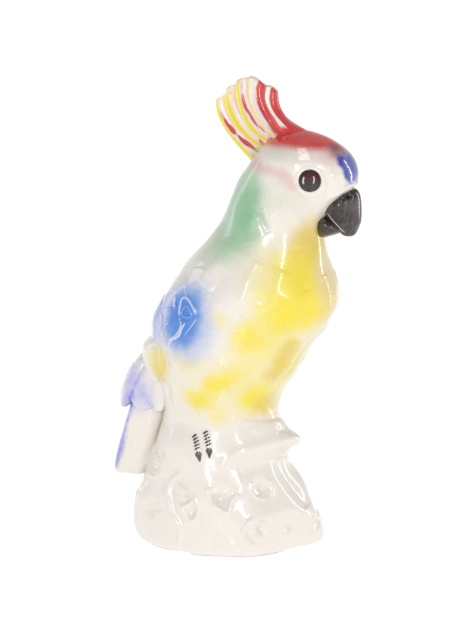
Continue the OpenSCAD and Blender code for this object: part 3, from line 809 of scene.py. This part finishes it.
def model_lower_beak():
    beak = soften(draw_up("lower_beak", [
        (61.8, 0, 199.6, 2.4, 2.8), (63.4, 0, 201.2, 6.2, 6.2), (66.2, 0, 203.6, 9.6, 9.0),
        (67.2, 0, 206.0, 10.2, 10.2), (66.2, 0, 208.4, 9.2, 10.6), (65, 0, 210.8, 7.6, 10.0),
        (64.2, 0, 213, 5.2, 8.2), (63.6, 0, 215, 2, 4),
    ], 16), 3)
    shift(beak, LOWER_BEAK_SHIFT)
    return beak


def model_eye():
    """A glazed dome on a plug, turned to look out of the face."""
    eye = soften(draw_up("right_eye", [
        (0, 0, z, radius, radius) for z, radius in [
            (-2.4, 6.6), (-2.0, 6.9), (0.5, 7.0), (1.25, 6.7), (1.8, 5.5), (2.25, 3.7), (2.48, 1.8), (2.52, 0.6),
        ]
    ], 20), 2)
    face, _ = on_clay(EYE_AT, tuple(-c for c in EYE_OUT))
    turn = Vector(EYE_LOOK).to_track_quat("Z", "Y").to_matrix()
    for v in eye.data.vertices:
        v.co = turn @ v.co + Vector(face) * MM
    return eye


def step_along(line, k):
    """The way a line runs at one of its points."""
    return line[min(k + 1, len(line) - 1)] - line[max(k - 1, 0)]


def model_toe(name, line):
    """A low round toe on the rock's side, narrowing to its claw. Its paint map runs round it and down it."""
    line, sides = evenly(line, 46), 28
    rings, marks = [], []
    for k, place in enumerate(line):
        t = k / (len(line) - 1)
        spot, facing = on_clay(place, (0, 1, 0))
        side = np.cross(step_along(line, k), facing)
        side /= np.linalg.norm(side)
        start, claw = smooth_step(t / 0.08), smooth_step((t - 0.72) / 0.28)
        knuckle = 1 + 0.07 * math.cos(2 * math.pi * t * 6.5)
        wide = (2.5 - 1.9 * claw) * (0.35 + 0.65 * start) * knuckle
        high = (1.35 - 0.6 * claw) * (0.3 + 0.7 * start)
        turns = [2 * math.pi * j / sides for j in range(sides)]
        sunk = spot - facing * 0.35
        rings.append([sunk + side * wide * math.cos(a) + facing * high * math.sin(a) for a in turns])
        marks.append([(j / sides, t) for j in range(sides)])
    return skin(name, rings, marks)


def model_foot():
    """Two toes side by side, as one piece."""
    toes = model_toe("right_foot", [(-11.9, -34.4, 76.2), (-9.4, -36.7, 71), (-8.2, -38.2, 66.5), (-6.1, -40, 59.3)])
    front = model_toe("front toe", [(-4.6, -33.3, 79), (-2.8, -35.1, 74), (-1.0, -37, 68.5), (-0.3, -38.6, 61.8)])
    join_into(toes, [front])
    return toes


def model_gape():
    """The thin pale line between the two halves of the beak: partly the unpainted glaze in the crease, partly a
    painted highlight along the beak's edge.
    """
    line = evenly([
        (66.2, -12, 215.6), (69, -11.8, 212.4), (72.4, -10.6, 209.2), (75, -8.4, 206.6), (77.2, -6.4, 204.4),
    ], 30)
    beak = tree_of(upper_beak)
    line = [np.array(beak.find_nearest(Vector(place) * MM)[0]) / MM for place in line]
    sides, radius, flat = 12, 0.34, 1.8
    turns = [2 * math.pi * j / sides for j in range(sides)]
    rings = []
    for k, place in enumerate(line):
        step = step_along(line, k)
        step /= np.linalg.norm(step)
        side = np.cross(step, (0, 1, 0))
        side /= np.linalg.norm(side)
        out = np.cross(side, step)
        taper = math.sqrt(max(0.02, 1 - (2 * k / (len(line) - 1) - 1) ** 6))
        rings.append([place + radius * taper * (side * math.cos(a) + out * flat * math.sin(a)) for a in turns])
    return skin("right_gape", rings)


upper_beak, lower_beak = model_upper_beak(), model_lower_beak()
right_eye, right_foot, right_gape = model_eye(), model_foot(), model_gape()
left_eye, left_foot, left_gape = (
    other_side(right_eye, "left_eye"), other_side(right_foot, "left_foot"), other_side(right_gape, "left_gape")
)


# ---------- the clay cut at its two seams ----------

SEAT, NECK = 80.0, 202.0
FOOT = 0.4  # the clay's round underside is cut off here, and the cut set down on the table


def cut_clay(clay):
    """Three copies of the one lump, each kept between its own cuts, so the seams match exactly."""
    base, trunk, top = copy_of(clay, "rock_base"), copy_of(clay, "torso"), copy_of(clay, "head")
    bpy.data.objects.remove(clay)
    slice_off(base, SEAT, keep_above=False)
    slice_off(base, FOOT, keep_above=True)
    for v in base.data.vertices:
        if v.co.z < FOOT * 1.5 * MM:
            v.co.z = 0.0
    slice_off(trunk, SEAT, keep_above=True)
    slice_off(trunk, NECK, keep_above=False)
    slice_off(top, NECK, keep_above=True)
    return base, trunk, top


rock_base, torso, head = cut_clay(clay)


# ---------- paint and glaze ----------

def paint(red, green, blue):
    """A colour as on a paint chart, 0 to 255."""
    return tuple(((c / 255 + 0.055) / 1.055) ** 2.4 for c in (red, green, blue)) + (1.0,)


WHITE_GLAZE = paint(247, 240, 231)
YELLOW, GOLDEN, STRAW = paint(252, 230, 40), paint(236, 204, 66), paint(250, 234, 140)
GREEN, LEAF = paint(122, 186, 138), paint(160, 205, 165)
RED, ROSE, PINK = paint(214, 34, 34), paint(222, 120, 126), paint(232, 176, 184)
COBALT, PLUM = paint(16, 38, 166), paint(112, 30, 66)
BLUE, SKY, LILAC, LAVENDER = paint(44, 128, 222), paint(140, 176, 236), paint(170, 180, 236), paint(188, 186, 240)
BROWN, BLACK = paint(96, 68, 40), paint(16, 12, 12)


class Glaze:
    """A glazed finish: colours sprayed and brushed on one after another, under a clear coat."""

    def __init__(self, name, ground=WHITE_GLAZE, on_map=False, shake=1.0):
        self.material = bpy.data.materials.new(name)
        self.material.use_nodes = True
        self.tree = self.material.node_tree
        self.shader = self.tree.nodes["Principled BSDF"]
        self.shader.inputs["Roughness"].default_value = 0.28
        self.shader.inputs["IOR"].default_value = 1.5
        self.shader.inputs["Coat Weight"].default_value = 1.0
        self.shader.inputs["Coat Roughness"].default_value = 0.035
        self.shader.inputs["Coat IOR"].default_value = 1.55
        self.solid = self.add("ShaderNodeTexCoord").outputs["Object"]
        self.fine = self.noise(1500, 2, 0.6).outputs["Fac"]
        self.place = self.map_place(shake) if on_map else self.solid_place()
        self.unit = 1.0 if on_map else MM
        self.colour = ground

    def map_place(self, shake):
        """Where a point is on its piece's paint map, shaken a little so that no edge is ruled."""
        chart = self.add("ShaderNodeUVMap")
        chart.uv_map = "paint_map"
        shaken = self.unrest(self.noise(420, 3, 0.6), (0.04 * shake, 0.015 * shake, 0))
        return self.vector("ADD", chart.outputs["UV"], shaken)

    def solid_place(self):
        """Where a point is on the bird, both sides painted as the right one, and less shaken up on the face."""
        shaken = self.unrest(self.noise(85, 4, 0.6), (0.006, 0.006, 0.006))
        height = self.add("ShaderNodeSeparateXYZ", Vector=self.solid).outputs["Z"]
        shaken = self.vector("MULTIPLY", shaken, self.between(height, 0.225, 0.25, 1.0, 0.3))
        moved = self.vector("ADD", self.solid, shaken)
        parts = self.add("ShaderNodeSeparateXYZ", Vector=moved).outputs
        side = self.number("MULTIPLY", self.number("ABSOLUTE", parts["Y"]), -1.0)
        return self.add("ShaderNodeCombineXYZ", X=parts["X"], Y=side, Z=parts["Z"]).outputs[0]

    def unrest(self, noise, reach):
        """A noise's colour as a shift of up to reach either way."""
        return self.vector("MULTIPLY_ADD", noise.outputs["Color"], [2 * r for r in reach], [-r for r in reach])

    def add(self, kind, **inputs):
        node = self.tree.nodes.new(kind)
        for name, value in inputs.items():
            self.feed(node.inputs[name.replace("_", " ")], value)
        return node

    def feed(self, socket, value):
        if isinstance(value, bpy.types.NodeSocket):
            self.tree.links.new(value, socket)
        else:
            socket.default_value = value

    def number(self, operation, *values):
        node = self.tree.nodes.new("ShaderNodeMath")
        node.operation = operation
        for socket, value in zip(node.inputs, values):
            self.feed(socket, value)
        return node.outputs[0]

    def vector(self, operation, *values):
        node = self.tree.nodes.new("ShaderNodeVectorMath")
        node.operation = operation
        for socket, value in zip(node.inputs, values):
            self.feed(socket, value)
        return node.outputs["Value" if operation == "LENGTH" else "Vector"]

    def noise(self, scale, detail, rough):
        return self.add("ShaderNodeTexNoise", Vector=self.solid, Scale=scale, Detail=detail, Roughness=rough)

    def lay(self, cover, colour):
        """Lays a colour over what is there, where cover is 1."""
        mix = self.tree.nodes.new("ShaderNodeMix")
        mix.data_type = "RGBA"
        self.feed(mix.inputs[0], cover)
        self.feed(mix.inputs[6], self.colour)
        self.feed(mix.inputs[7], colour)
        self.colour = mix.outputs[2]

    def between(self, value, start, stop, low=0.0, high=1.0):
        node = self.tree.nodes.new("ShaderNodeMapRange")
        node.interpolation_type = "SMOOTHSTEP"
        for socket, number in zip(node.inputs[:5], (value, start, stop, low, high)):
            self.feed(socket, number)
        return node.outputs[0]

    def puff(self, centre, size, colour, strength=1.0, soft=0.5, turn=(0, 0, 0), grain=0.25):
        """One puff of the airbrush: full inside, speckled out to nothing across the soft edge."""
        if not isinstance(size, tuple):
            size = (size, size, size)
        move = self.tree.nodes.new("ShaderNodeMapping")
        move.vector_type = "TEXTURE"
        self.feed(move.inputs["Vector"], self.place)
        move.inputs["Location"].default_value = [c * self.unit for c in centre]
        move.inputs["Rotation"].default_value = turn
        move.inputs["Scale"].default_value = [s * self.unit for s in size]
        reach = self.vector("LENGTH", move.outputs["Vector"])
        reach = self.number("MULTIPLY_ADD", self.fine, grain * soft, reach)
        edge = 1.0 + grain * soft / 2
        self.lay(self.between(reach, edge + soft, edge - soft, 0.0, strength), colour)

    def stroke(self, line, width, colour, strength=1.0, soft=0.5):
        """A brush stroke through a few places, made of long overlapping puffs."""
        for a, b in zip(line[:-1], line[1:]):
            a, b = Vector(a), Vector(b)
            turn = (b - a).to_track_quat("Z", "Y").to_euler()
            size = (width, width, (b - a).length * 0.5 + width * 0.6)
            self.puff((a + b) / 2, size, colour, strength, soft, tuple(turn))

    def specks(self, places, size=0.35):
        for place in places:
            self.puff(place, size, BROWN, 0.8, 0.4, grain=0.0)

    def finish(self, ripple=0.00035, mottle=0.05):
        """Adds the slight unevenness of a thick glaze to its colour, its shine and its surface."""
        cloud = self.noise(60, 4, 0.6).outputs["Fac"]
        self.lay(self.between(cloud, 0.45, 0.8, 0.0, mottle * 2), paint(226, 214, 198))
        pin = self.noise(620, 1, 0.5).outputs["Fac"]
        self.lay(self.between(pin, 0.80, 0.86, 0.0, 0.5), BROWN)
        self.feed(self.shader.inputs["Base Color"], self.colour)
        patchy = self.noise(140, 3, 0.6).outputs["Fac"]
        self.feed(self.shader.inputs["Roughness"], self.between(patchy, 0.3, 0.8, 0.2, 0.36))
        waves = self.noise(85, 2, 0.5).outputs["Fac"]
        bump = self.add("ShaderNodeBump", Height=waves, Strength=1.0, Distance=ripple)
        self.feed(self.shader.inputs["Normal"], bump.outputs["Normal"])
        self.feed(self.shader.inputs["Coat Normal"], bump.outputs["Normal"])
        return self.material

    def give(self, *pieces):
        for piece in pieces:
            piece.data.materials.clear()
            piece.data.materials.append(self.material)


def spray_body(glaze, low, high):
    """The colours of breast, nape and shoulders, laid the same way on every piece that they cross."""
    coats = [
        # thin washes first
        ((40, -34, 170), (17, 16, 26), STRAW, 0.65, 0.7), ((44, -30, 148), (17, 18, 18), STRAW, 0.85, 0.7),
        ((33, -35, 132), (17, 13, 13), STRAW, 0.75, 0.8), ((20, -36, 118), (16, 13, 12), STRAW, 0.7, 0.8),
        ((6, -36, 102), (26, 14, 15), STRAW, 0.55, 0.8), ((44, -16, 118), (12, 18, 16), STRAW, 0.9, 0.7),
        ((64, 2, 150), (14, 22, 18), STRAW, 0.7, 0.8), ((34, 0, 99), (12, 22, 12), STRAW, 0.8, 0.7),
        ((44, -31, 178), (10, 10, 12), YELLOW, 0.3, 0.8), ((43, -35, 160), (11, 10, 13), YELLOW, 0.45, 0.8),
        # breast
        ((56, -8, 200), (13, 16, 13), GOLDEN, 0.85, 0.6), ((55, -14, 190), (12, 17, 13), GOLDEN, 0.75, 0.65),
        ((52, -24, 181), (11, 13, 13), YELLOW, 0.75, 0.7), ((55, -24, 170), (13, 14, 13), YELLOW, 0.8, 0.7),
        ((53, -29, 159), (14, 13, 12), YELLOW, 0.95, 0.65), ((47, -33, 151), (12, 11, 9), YELLOW, 0.75, 0.7),
        ((59, -20, 155), (12, 14, 12), YELLOW, 0.8, 0.7), ((67, -2, 166), (10, 15, 22), paint(238, 208, 96), 0.7, 0.6),
        ((25, -42, 140.5), (8.6, 9, 9.2), YELLOW, 0.9, 0.7), ((34, -38, 137), (9, 9, 8), YELLOW, 0.35, 0.8),
        # belly
        ((14, -38, 114), (7.5, 8, 5.5), YELLOW, 0.6, 0.7), ((6, -38.5, 109.5), (9, 8, 5.5), YELLOW, 0.9, 0.7),
        ((0, -39, 106), (6, 7, 5), YELLOW, 0.5, 0.7), ((-7, -37.3, 98.6), (9.5, 8, 6.5), YELLOW, 0.9, 0.7),
        ((25, -23, 99), (11, 12, 11), YELLOW, 0.95, 0.65), ((28, -14, 93), (8, 10, 8), GOLDEN, 0.7, 0.7),
        # the three golden puffs along the fold under the breast: partly the breast's own golden paint, partly painted
        # shade in the fold
        ((46.5, -21, 131), (6, 7, 7), GOLDEN, 0.8, 0.8), ((41, -21, 122.5), (6, 8, 7), GOLDEN, 0.85, 0.8),
        ((35, -22, 114), (6, 8, 6), GOLDEN, 0.7, 0.8), ((3, -33, 87), (6, 8, 5), STRAW, 0.7, 0.8),
        ((-37, -35, 116.5), (8.5, 12, 10.5), paint(236, 208, 56), 0.97, 0.5),
        ((-41, -33, 122), (8, 10, 10), STRAW, 0.7, 0.8),
        ((-14, -41, 121), (10, 7, 5), STRAW, 0.55, 0.8), ((8.5, -45, 150), (5, 6, 5), STRAW, 0.6, 0.8),
        # nape, neck and shoulders
        ((22, -26, 224), (11, 12, 14), GREEN, 0.8, 0.7), ((18, -26, 208), (11, 13, 14), GREEN, 0.8, 0.7),
        ((7, -14, 224), (13, 24, 22), GREEN, 0.6, 0.6), ((12, -4, 250), (12, 12, 8), GREEN, 0.75, 0.6),
        ((20, -20, 239), (9, 10, 9), LEAF, 0.6, 0.7), ((11, -29, 196), (13, 14, 9), LEAF, 0.7, 0.8),
        ((-3, -26, 187), (13, 16, 8), LEAF, 0.35, 0.8), ((2, -8, 206), (14, 24, 16), LEAF, 0.6, 0.7),
        # blue of the shoulder
        ((-16, -40, 150), (19, 17, 24), SKY, 0.8, 0.5), ((-16, -42, 156), (11, 13, 12), BLUE, 0.8, 0.6),
        ((-21, -42, 143), (12, 13, 11), BLUE, 0.85, 0.6), ((-14, -42, 147), (8, 12, 9), BLUE, 0.5, 0.7),
        ((-38, -27, 148), (8, 16, 19), LILAC, 0.8, 0.6), ((-34, -10, 162), (12, 16, 14), LILAC, 0.5, 0.7),
        ((-50, -10, 96), (12, 20, 8), LAVENDER, 0.6, 0.6),
    ]
    for centre, size, colour, strength, soft in coats:
        # a coat that never comes near this piece is left off it
        reach = size[2] * (1 + soft) + 2
        if low - reach < centre[2] < high + reach:
            glaze.puff(centre, size, colour, strength, soft)


def head_glaze():
    glaze = Glaze("painted head glaze")
    spray_body(glaze, 202, 256)
    glaze.puff((48, -24, 226), (14, 10, 14), paint(238, 226, 214), 0.6, 0.7)
    glaze.puff((21, -17, 246), (8, 9, 4), PINK, 0.7, 0.6)
    glaze.puff((38, -26, 252), (12, 10, 7), LEAF, 0.18, 0.8)
    glaze.puff((42, -28, 226), (14, 10, 10), LEAF, 0.16, 0.8)
    glaze.stroke([(24, -22, 244), (34.7, -27.3, 242.6), (44.3, -29.3, 240.5), (50, -29.5, 235.7), (54, -28.4, 230.4)],
                 3.2, ROSE, 0.28, 1.0)
    glaze.puff((50, 0, 262), (35, 29, 13.5), ROSE, 0.5, 0.5, grain=0.6)
    glaze.puff((75, -16, 254), (7, 8, 6), ROSE, 0.45, 0.9, grain=0.8)
    glaze.puff((50, 0, 265), (33, 28, 13.5), RED, 1.0, 0.2, grain=0.9)
    glaze.puff((27, 0, 270), (18, 14, 15), RED, 0.95, 0.2)
    glaze.puff((74, -7, 254.5), (7, 10, 5), PLUM, 0.75, 0.5, grain=0.5)
    glaze.puff((80.5, 0, 244.5), (7, 9, 10.5), COBALT, 0.95, 0.35)
    glaze.stroke([(76, -11.5, 250), (79.5, -9, 244.5), (82, -6, 237)], 4.8, COBALT, 1.0, 0.35)
    glaze.stroke([(81, -7, 236), (77, -12, 231.5)], 2.0, COBALT, 0.4, 0.6)
    glaze.puff(EYE_AT, (8.6, 8.6, 8.6), WHITE_GLAZE, 0.9, 0.12)
    glaze.specks([(70, -21.1, 231.9), (33, -27, 222)], 0.5)
    return glaze


def torso_glaze():
    glaze = Glaze("painted breast glaze")
    spray_body(glaze, 80, 202)
    glaze.specks([
        (-3.6, -30, 185.5), (2.6, -42.5, 159.8), (3.9, -44.2, 143.5), (60.7, -13.1, 183.6), (40.4, -35.1, 172),
        (45.9, -30.8, 145.3), (42.2, -21.6, 123.4),
    ])
    return glaze


def raised_white(glaze, strength=0.85):
    """The glaze runs off the raised lines and leaves them white."""
    high = glaze.tree.nodes.new("ShaderNodeAttribute")
    high.attribute_name = "raised"
    glaze.lay(glaze.between(high.outputs["Fac"], 0.2, 0.7, 0.0, strength), paint(226, 230, 248))


def wing_glaze():
    glaze = Glaze("blue wing glaze")
    spray_body(glaze, 102, 187)
    glaze.puff((-20, -37, 150), (11, 10, 12), BLUE, 0.6, 0.6)
    raised_white(glaze, 0.75)
    return glaze


def coverts_glaze():
    glaze = Glaze("lavender covert glaze")
    glaze.puff((-62, -8, 99), (20, 24, 20), LAVENDER, 0.7, 0.5)
    glaze.stroke([(-54, -19, 108), (-60, -17, 97), (-65, -15, 86)], 4.0, paint(124, 128, 232), 0.6, 0.9)
    glaze.stroke([(-52, -21, 97), (-47, -22, 85)], 2.6, paint(140, 140, 232), 0.45, 0.9)
    glaze.puff((-73, -6, 92), (6, 18, 12), paint(240, 234, 246), 0.75, 0.7)
    glaze.puff((-46, -20, 116), (10, 12, 10), WHITE_GLAZE, 0.8, 0.6)
    raised_white(glaze, 0.6)
    return glaze


def tail_glaze():
    glaze = Glaze("tail glaze")
    periwinkle = paint(126, 126, 226)
    glaze.puff((-66, 0, 88), (16, 30, 9), LAVENDER, 0.6, 0.6)
    glaze.stroke([(-62, -16, 94), (-69, -17, 70), (-76, -17, 44)], 4.4, periwinkle, 0.9, 0.6)
    glaze.stroke([(-66, -6, 94), (-73, -6, 70), (-80, -6, 44)], 9.0, periwinkle, 0.65, 0.5)
    return glaze


def rock_glaze():
    glaze = Glaze("ivory rock glaze")
    spray_body(glaze, 60, 80)
    height = glaze.add("ShaderNodeSeparateXYZ", Vector=glaze.solid).outputs["Z"]
    glaze.lay(glaze.between(height, 0.0012, 0.0, 0.0, 0.6), paint(170, 138, 108))
    return glaze


# For each plume: places on its paint map (across, along), sizes, colours and strengths.
# The second of these three colours is a painted highlight: pale lilac-white streaks laid where the glaze's glints fall
# along the plumes' rims and hollows.
CREAM, PAINTED_GLINT, BUTTER = paint(250, 242, 222), paint(255, 240, 250), paint(248, 228, 132)
PLUME_COATS = [
    [((0.2, 0.66), (0.25, 0.56), YELLOW, 0.97, 0.2), ((0.45, 1.04), (0.6, 0.1), CREAM, 0.8, 0.5),
     ((0.6, 0.62), (0.2, 0.34), PAINTED_GLINT, 0.95, 0.3), ((0.5, 0.8), (0.07, 0.05), ROSE, 0.7, 0.5),
     ((0.54, 0.7), (0.1, 0.07), RED, 0.95, 0.35), ((0.6, 0.61), (0.15, 0.07), RED, 0.97, 0.3),
     ((0.64, 0.43), (0.1, 0.1), RED, 0.97, 0.3), ((0.74, 0.34), (0.1, 0.1), RED, 0.97, 0.3)],
    [((0.26, 0.62), (0.24, 0.5), YELLOW, 0.97, 0.2), ((0.5, 1.04), (0.7, 0.12), CREAM, 0.85, 0.5),
     ((0.74, 0.8), (0.18, 0.16), paint(250, 204, 200), 0.85, 0.5), ((0.7, 0.5), (0.14, 0.26), PAINTED_GLINT, 0.9, 0.4),
     ((0.6, 0.93), (0.03, 0.012), BROWN, 0.8, 0.4)],
    [((0.24, 0.62), (0.23, 0.48), YELLOW, 0.95, 0.2), ((0.5, 1.04), (0.8, 0.1), paint(246, 206, 196), 0.6, 0.5),
     ((0.7, 0.6), (0.26, 0.42), PAINTED_GLINT, 0.9, 0.3), ((0.6, 0.9), (0.08, 0.07), ROSE, 0.5, 0.6),
     ((0.62, 0.72), (0.12, 0.13), RED, 0.97, 0.3), ((0.7, 0.52), (0.1, 0.14), RED, 0.97, 0.3),
     ((0.8, 0.34), (0.08, 0.06), RED, 0.8, 0.4)],
    [((0.18, 0.62), (0.2, 0.5), BUTTER, 0.9, 0.3), ((0.4, 0.6), (0.1, 0.5), PAINTED_GLINT, 0.97, 0.3),
     ((0.3, 1.02), (0.3, 0.1), CREAM, 0.8, 0.4),
     ((0.82, 0.66), (0.3, 0.62), RED, 1.0, 0.12), ((0.9, 0.26), (0.4, 0.14), RED, 0.95, 0.4)],
    [((0.08, 0.62), (0.1, 0.5), RED, 0.95, 0.3), ((0.24, 0.76), (0.1, 0.32), CREAM, 0.97, 0.25),
     ((0.38, 0.62), (0.06, 0.4), PAINTED_GLINT, 0.97, 0.3), ((0.76, 0.6), (0.33, 0.64), RED, 1.0, 0.12),
     ((0.5, 0.2), (0.8, 0.14), RED, 1.0, 0.4)],
]
ROOT_COATS = [paint(208, 222, 160), paint(236, 222, 160), paint(240, 204, 160), paint(236, 150, 130), RED]


def plume_glaze(i):
    glaze = Glaze(("yellow" if i < 3 else "red") + f" plume glaze {i + 1}", CREAM, on_map=True, shake=0.55)
    glaze.puff((0.5, 0.08, 0), (1.2, 0.2, 1), ROOT_COATS[i], 0.9, 0.5)
    for centre, size, colour, strength, soft in PLUME_COATS[i]:
        glaze.puff((*centre, 0), (*size, 1), colour, strength, soft, grain=0.4)
    return glaze


def beak_glaze():
    glaze = Glaze("brown black beak glaze", paint(30, 21, 20))
    brushed = glaze.add("ShaderNodeMapping", Vector=glaze.solid, Rotation=(0, 0.5, 0), Scale=(1.0, 1.0, 0.16))
    hairs = glaze.add("ShaderNodeTexNoise", Vector=brushed.outputs["Vector"], Scale=560.0, Detail=4.0, Roughness=0.6)
    glaze.lay(glaze.between(hairs.outputs["Fac"], 0.46, 0.68, 0.0, 0.75), paint(88, 72, 68))
    glaze.lay(glaze.between(glaze.noise(260, 2, 0.5).outputs["Fac"], 0.6, 0.75, 0.0, 0.7), paint(14, 9, 9))
    glaze.shader.inputs["Coat Weight"].default_value = 0.8
    glaze.shader.inputs["Specular IOR Level"].default_value = 0.25
    return glaze


def eye_glaze():
    glaze = Glaze("black eye glaze", paint(24, 12, 9))
    glaze.puff((62, -30, 240), (4.5, 6, 4), paint(90, 6, 4), 0.7, 0.6)
    glaze.shader.inputs["Specular IOR Level"].default_value = 0.2
    return glaze


def toe_glaze():
    """White toes with the scales and the claw painted on in black."""
    glaze = Glaze("painted toe glaze", on_map=True, shake=0.3)
    for along in (0.1, 0.21, 0.32, 0.43, 0.54):
        glaze.puff((0.25, along, 0), (0.15, 0.04, 1), BLACK, 1.0, 0.2, (0, 0, -0.2))
    for along, across, length in [(0.76, 0.17, 0.12), (0.9, 0.22, 0.13)]:
        glaze.puff((0.25, along, 0), (across, length, 1), BLACK, 0.97, 0.15)
    return glaze


def gape_line_and_highlight_glaze():
    # light grey: partly the crease's unpainted glaze, partly a painted highlight on the beak's edge
    return Glaze("pale gape line and painted edge highlight glaze", paint(206, 198, 194))


def dress():
    """Every piece gets its glaze, its place in the model and its finish."""
    wardrobe = [
        (rock_base, rock_glaze(), "rock_base", "ivory_glaze"), (torso, torso_glaze(), "torso", "painted_glaze"),
        (head, head_glaze(), "head", "head_glaze"), (tail, tail_glaze(), "tail", "ivory_glaze"),
        (tail_coverts, coverts_glaze(), "tail_coverts", "lilac_glaze"),
        (upper_beak, beak_glaze(), "upper_beak", "dark_glaze"), (lower_beak, beak_glaze(), "lower_beak", "dark_glaze"),
    ]
    for pair, glaze, node, slot in [
        ((right_wing, left_wing), wing_glaze(), "wing", "blue_glaze"),
        ((right_eye, left_eye), eye_glaze(), "eye", "eye_glaze"),
        ((right_foot, left_foot), toe_glaze(), "foot", "dark_glaze"),
    ]:
        wardrobe += [(piece, glaze, f"{side}_{node}", slot) for piece, side in zip(pair, ("right", "left"))]
    for i, plume in enumerate(plumes):
        wardrobe.append((plume, plume_glaze(i), f"crest_plume_{i + 1}", "yellow_glaze" if i < 3 else "red_glaze"))
    wardrobe += [(piece, gape_line_and_highlight_glaze(), None, "head_glaze") for piece in (right_gape, left_gape)]
    for piece, glaze, node, slot in wardrobe:
        piece.name = piece.data.name = (node or "gape_line") + "_glazed"
        if glaze.material.get("fired") is None:
            glaze.finish()
            glaze.material["fired"] = True
        glaze.give(piece)
        shade(piece, 60)
        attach(piece, "root")
        if node:
            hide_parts(node)


# ---------- stage ----------

def lay_floor():
    """A white acrylic table, lit a little from within as in a product studio."""
    start_clean()
    bpy.ops.mesh.primitive_plane_add(size=8, location=(0, 0, 0))
    floor = bpy.context.object
    floor.name = "floor"
    acrylic = bpy.data.materials.new("white table")
    acrylic.use_nodes = True
    for name, value in [
        ("Base Color", (0.42, 0.42, 0.42, 1)), ("Roughness", 0.14), ("Specular IOR Level", 0.2),
        ("Emission Color", (1, 1, 1, 1)), ("Emission Strength", 0.69),
    ]:
        acrylic.node_tree.nodes["Principled BSDF"].inputs[name].default_value = value
    floor.data.materials.append(acrylic)


def hang_light(name, azimuth, height, distance, size, power, aim=(0, 0, 0.15)):
    """A softbox seen from the bird: azimuth 0 is at its right side, 90 is in front of it."""
    a = math.radians(azimuth)
    data = bpy.data.lights.new(name, "AREA")
    data.shape, data.size, data.size_y, data.energy = "RECTANGLE", size[0], size[1], power
    light = bpy.data.objects.new(name, data)
    bpy.context.scene.collection.objects.link(light)
    light.location = (math.sin(a) * distance, -math.cos(a) * distance, height)
    light.rotation_euler = (Vector(aim) - light.location).to_track_quat("-Z", "Y").to_euler()


def hang_lights():
    """A white room: bright behind the bird and low down, dimmer above, with tall windows beside the camera."""
    world = bpy.data.worlds.new("white room")
    world.use_nodes = True
    nodes, links = world.node_tree.nodes, world.node_tree.links
    path, sky = nodes.new("ShaderNodeLightPath"), nodes.new("ShaderNodeTexCoord")
    height = nodes.new("ShaderNodeSeparateXYZ")
    links.new(sky.outputs["Generated"], height.inputs[0])

    def blend(factor, low, high, start=0.0, stop=1.0):
        node = nodes.new("ShaderNodeMapRange")
        links.new(factor, node.inputs[0])
        for socket, value in zip(node.inputs[1:5], (start, stop, low, high)):
            if isinstance(value, bpy.types.NodeSocket):
                links.new(value, socket)
            else:
                socket.default_value = value
        return node.outputs[0]

    mirrored = blend(height.outputs["Z"], 0.95, 0.45, 0.05, 0.5)
    felt = blend(path.outputs["Is Glossy Ray"], 0.515, mirrored)
    links.new(blend(path.outputs["Is Camera Ray"], felt, 1.05), nodes["Background"].inputs["Strength"])
    nodes["Background"].inputs["Color"].default_value = (1, 1, 1, 1)
    bpy.context.scene.world = world
    bpy.context.scene.view_settings.view_transform = "Standard"
    hang_light("window left of the camera", 3, 0.50, 1.25, (0.13, 0.5), 2.6)
    hang_light("window right of the camera", 40, 0.52, 1.25, (0.09, 0.5), 1.8)
    hang_light("edge strip in front", 124, 0.4, 1.2, (0.07, 0.9), 2.0)
    hang_light("edge strip behind", -95, 0.5, 1.2, (0.3, 0.6), 0.5)
    hang_light("top softbox", 20, 1.5, 0.3, (0.3, 0.3), 0.9)


dress()
lay_floor()
hang_lights()
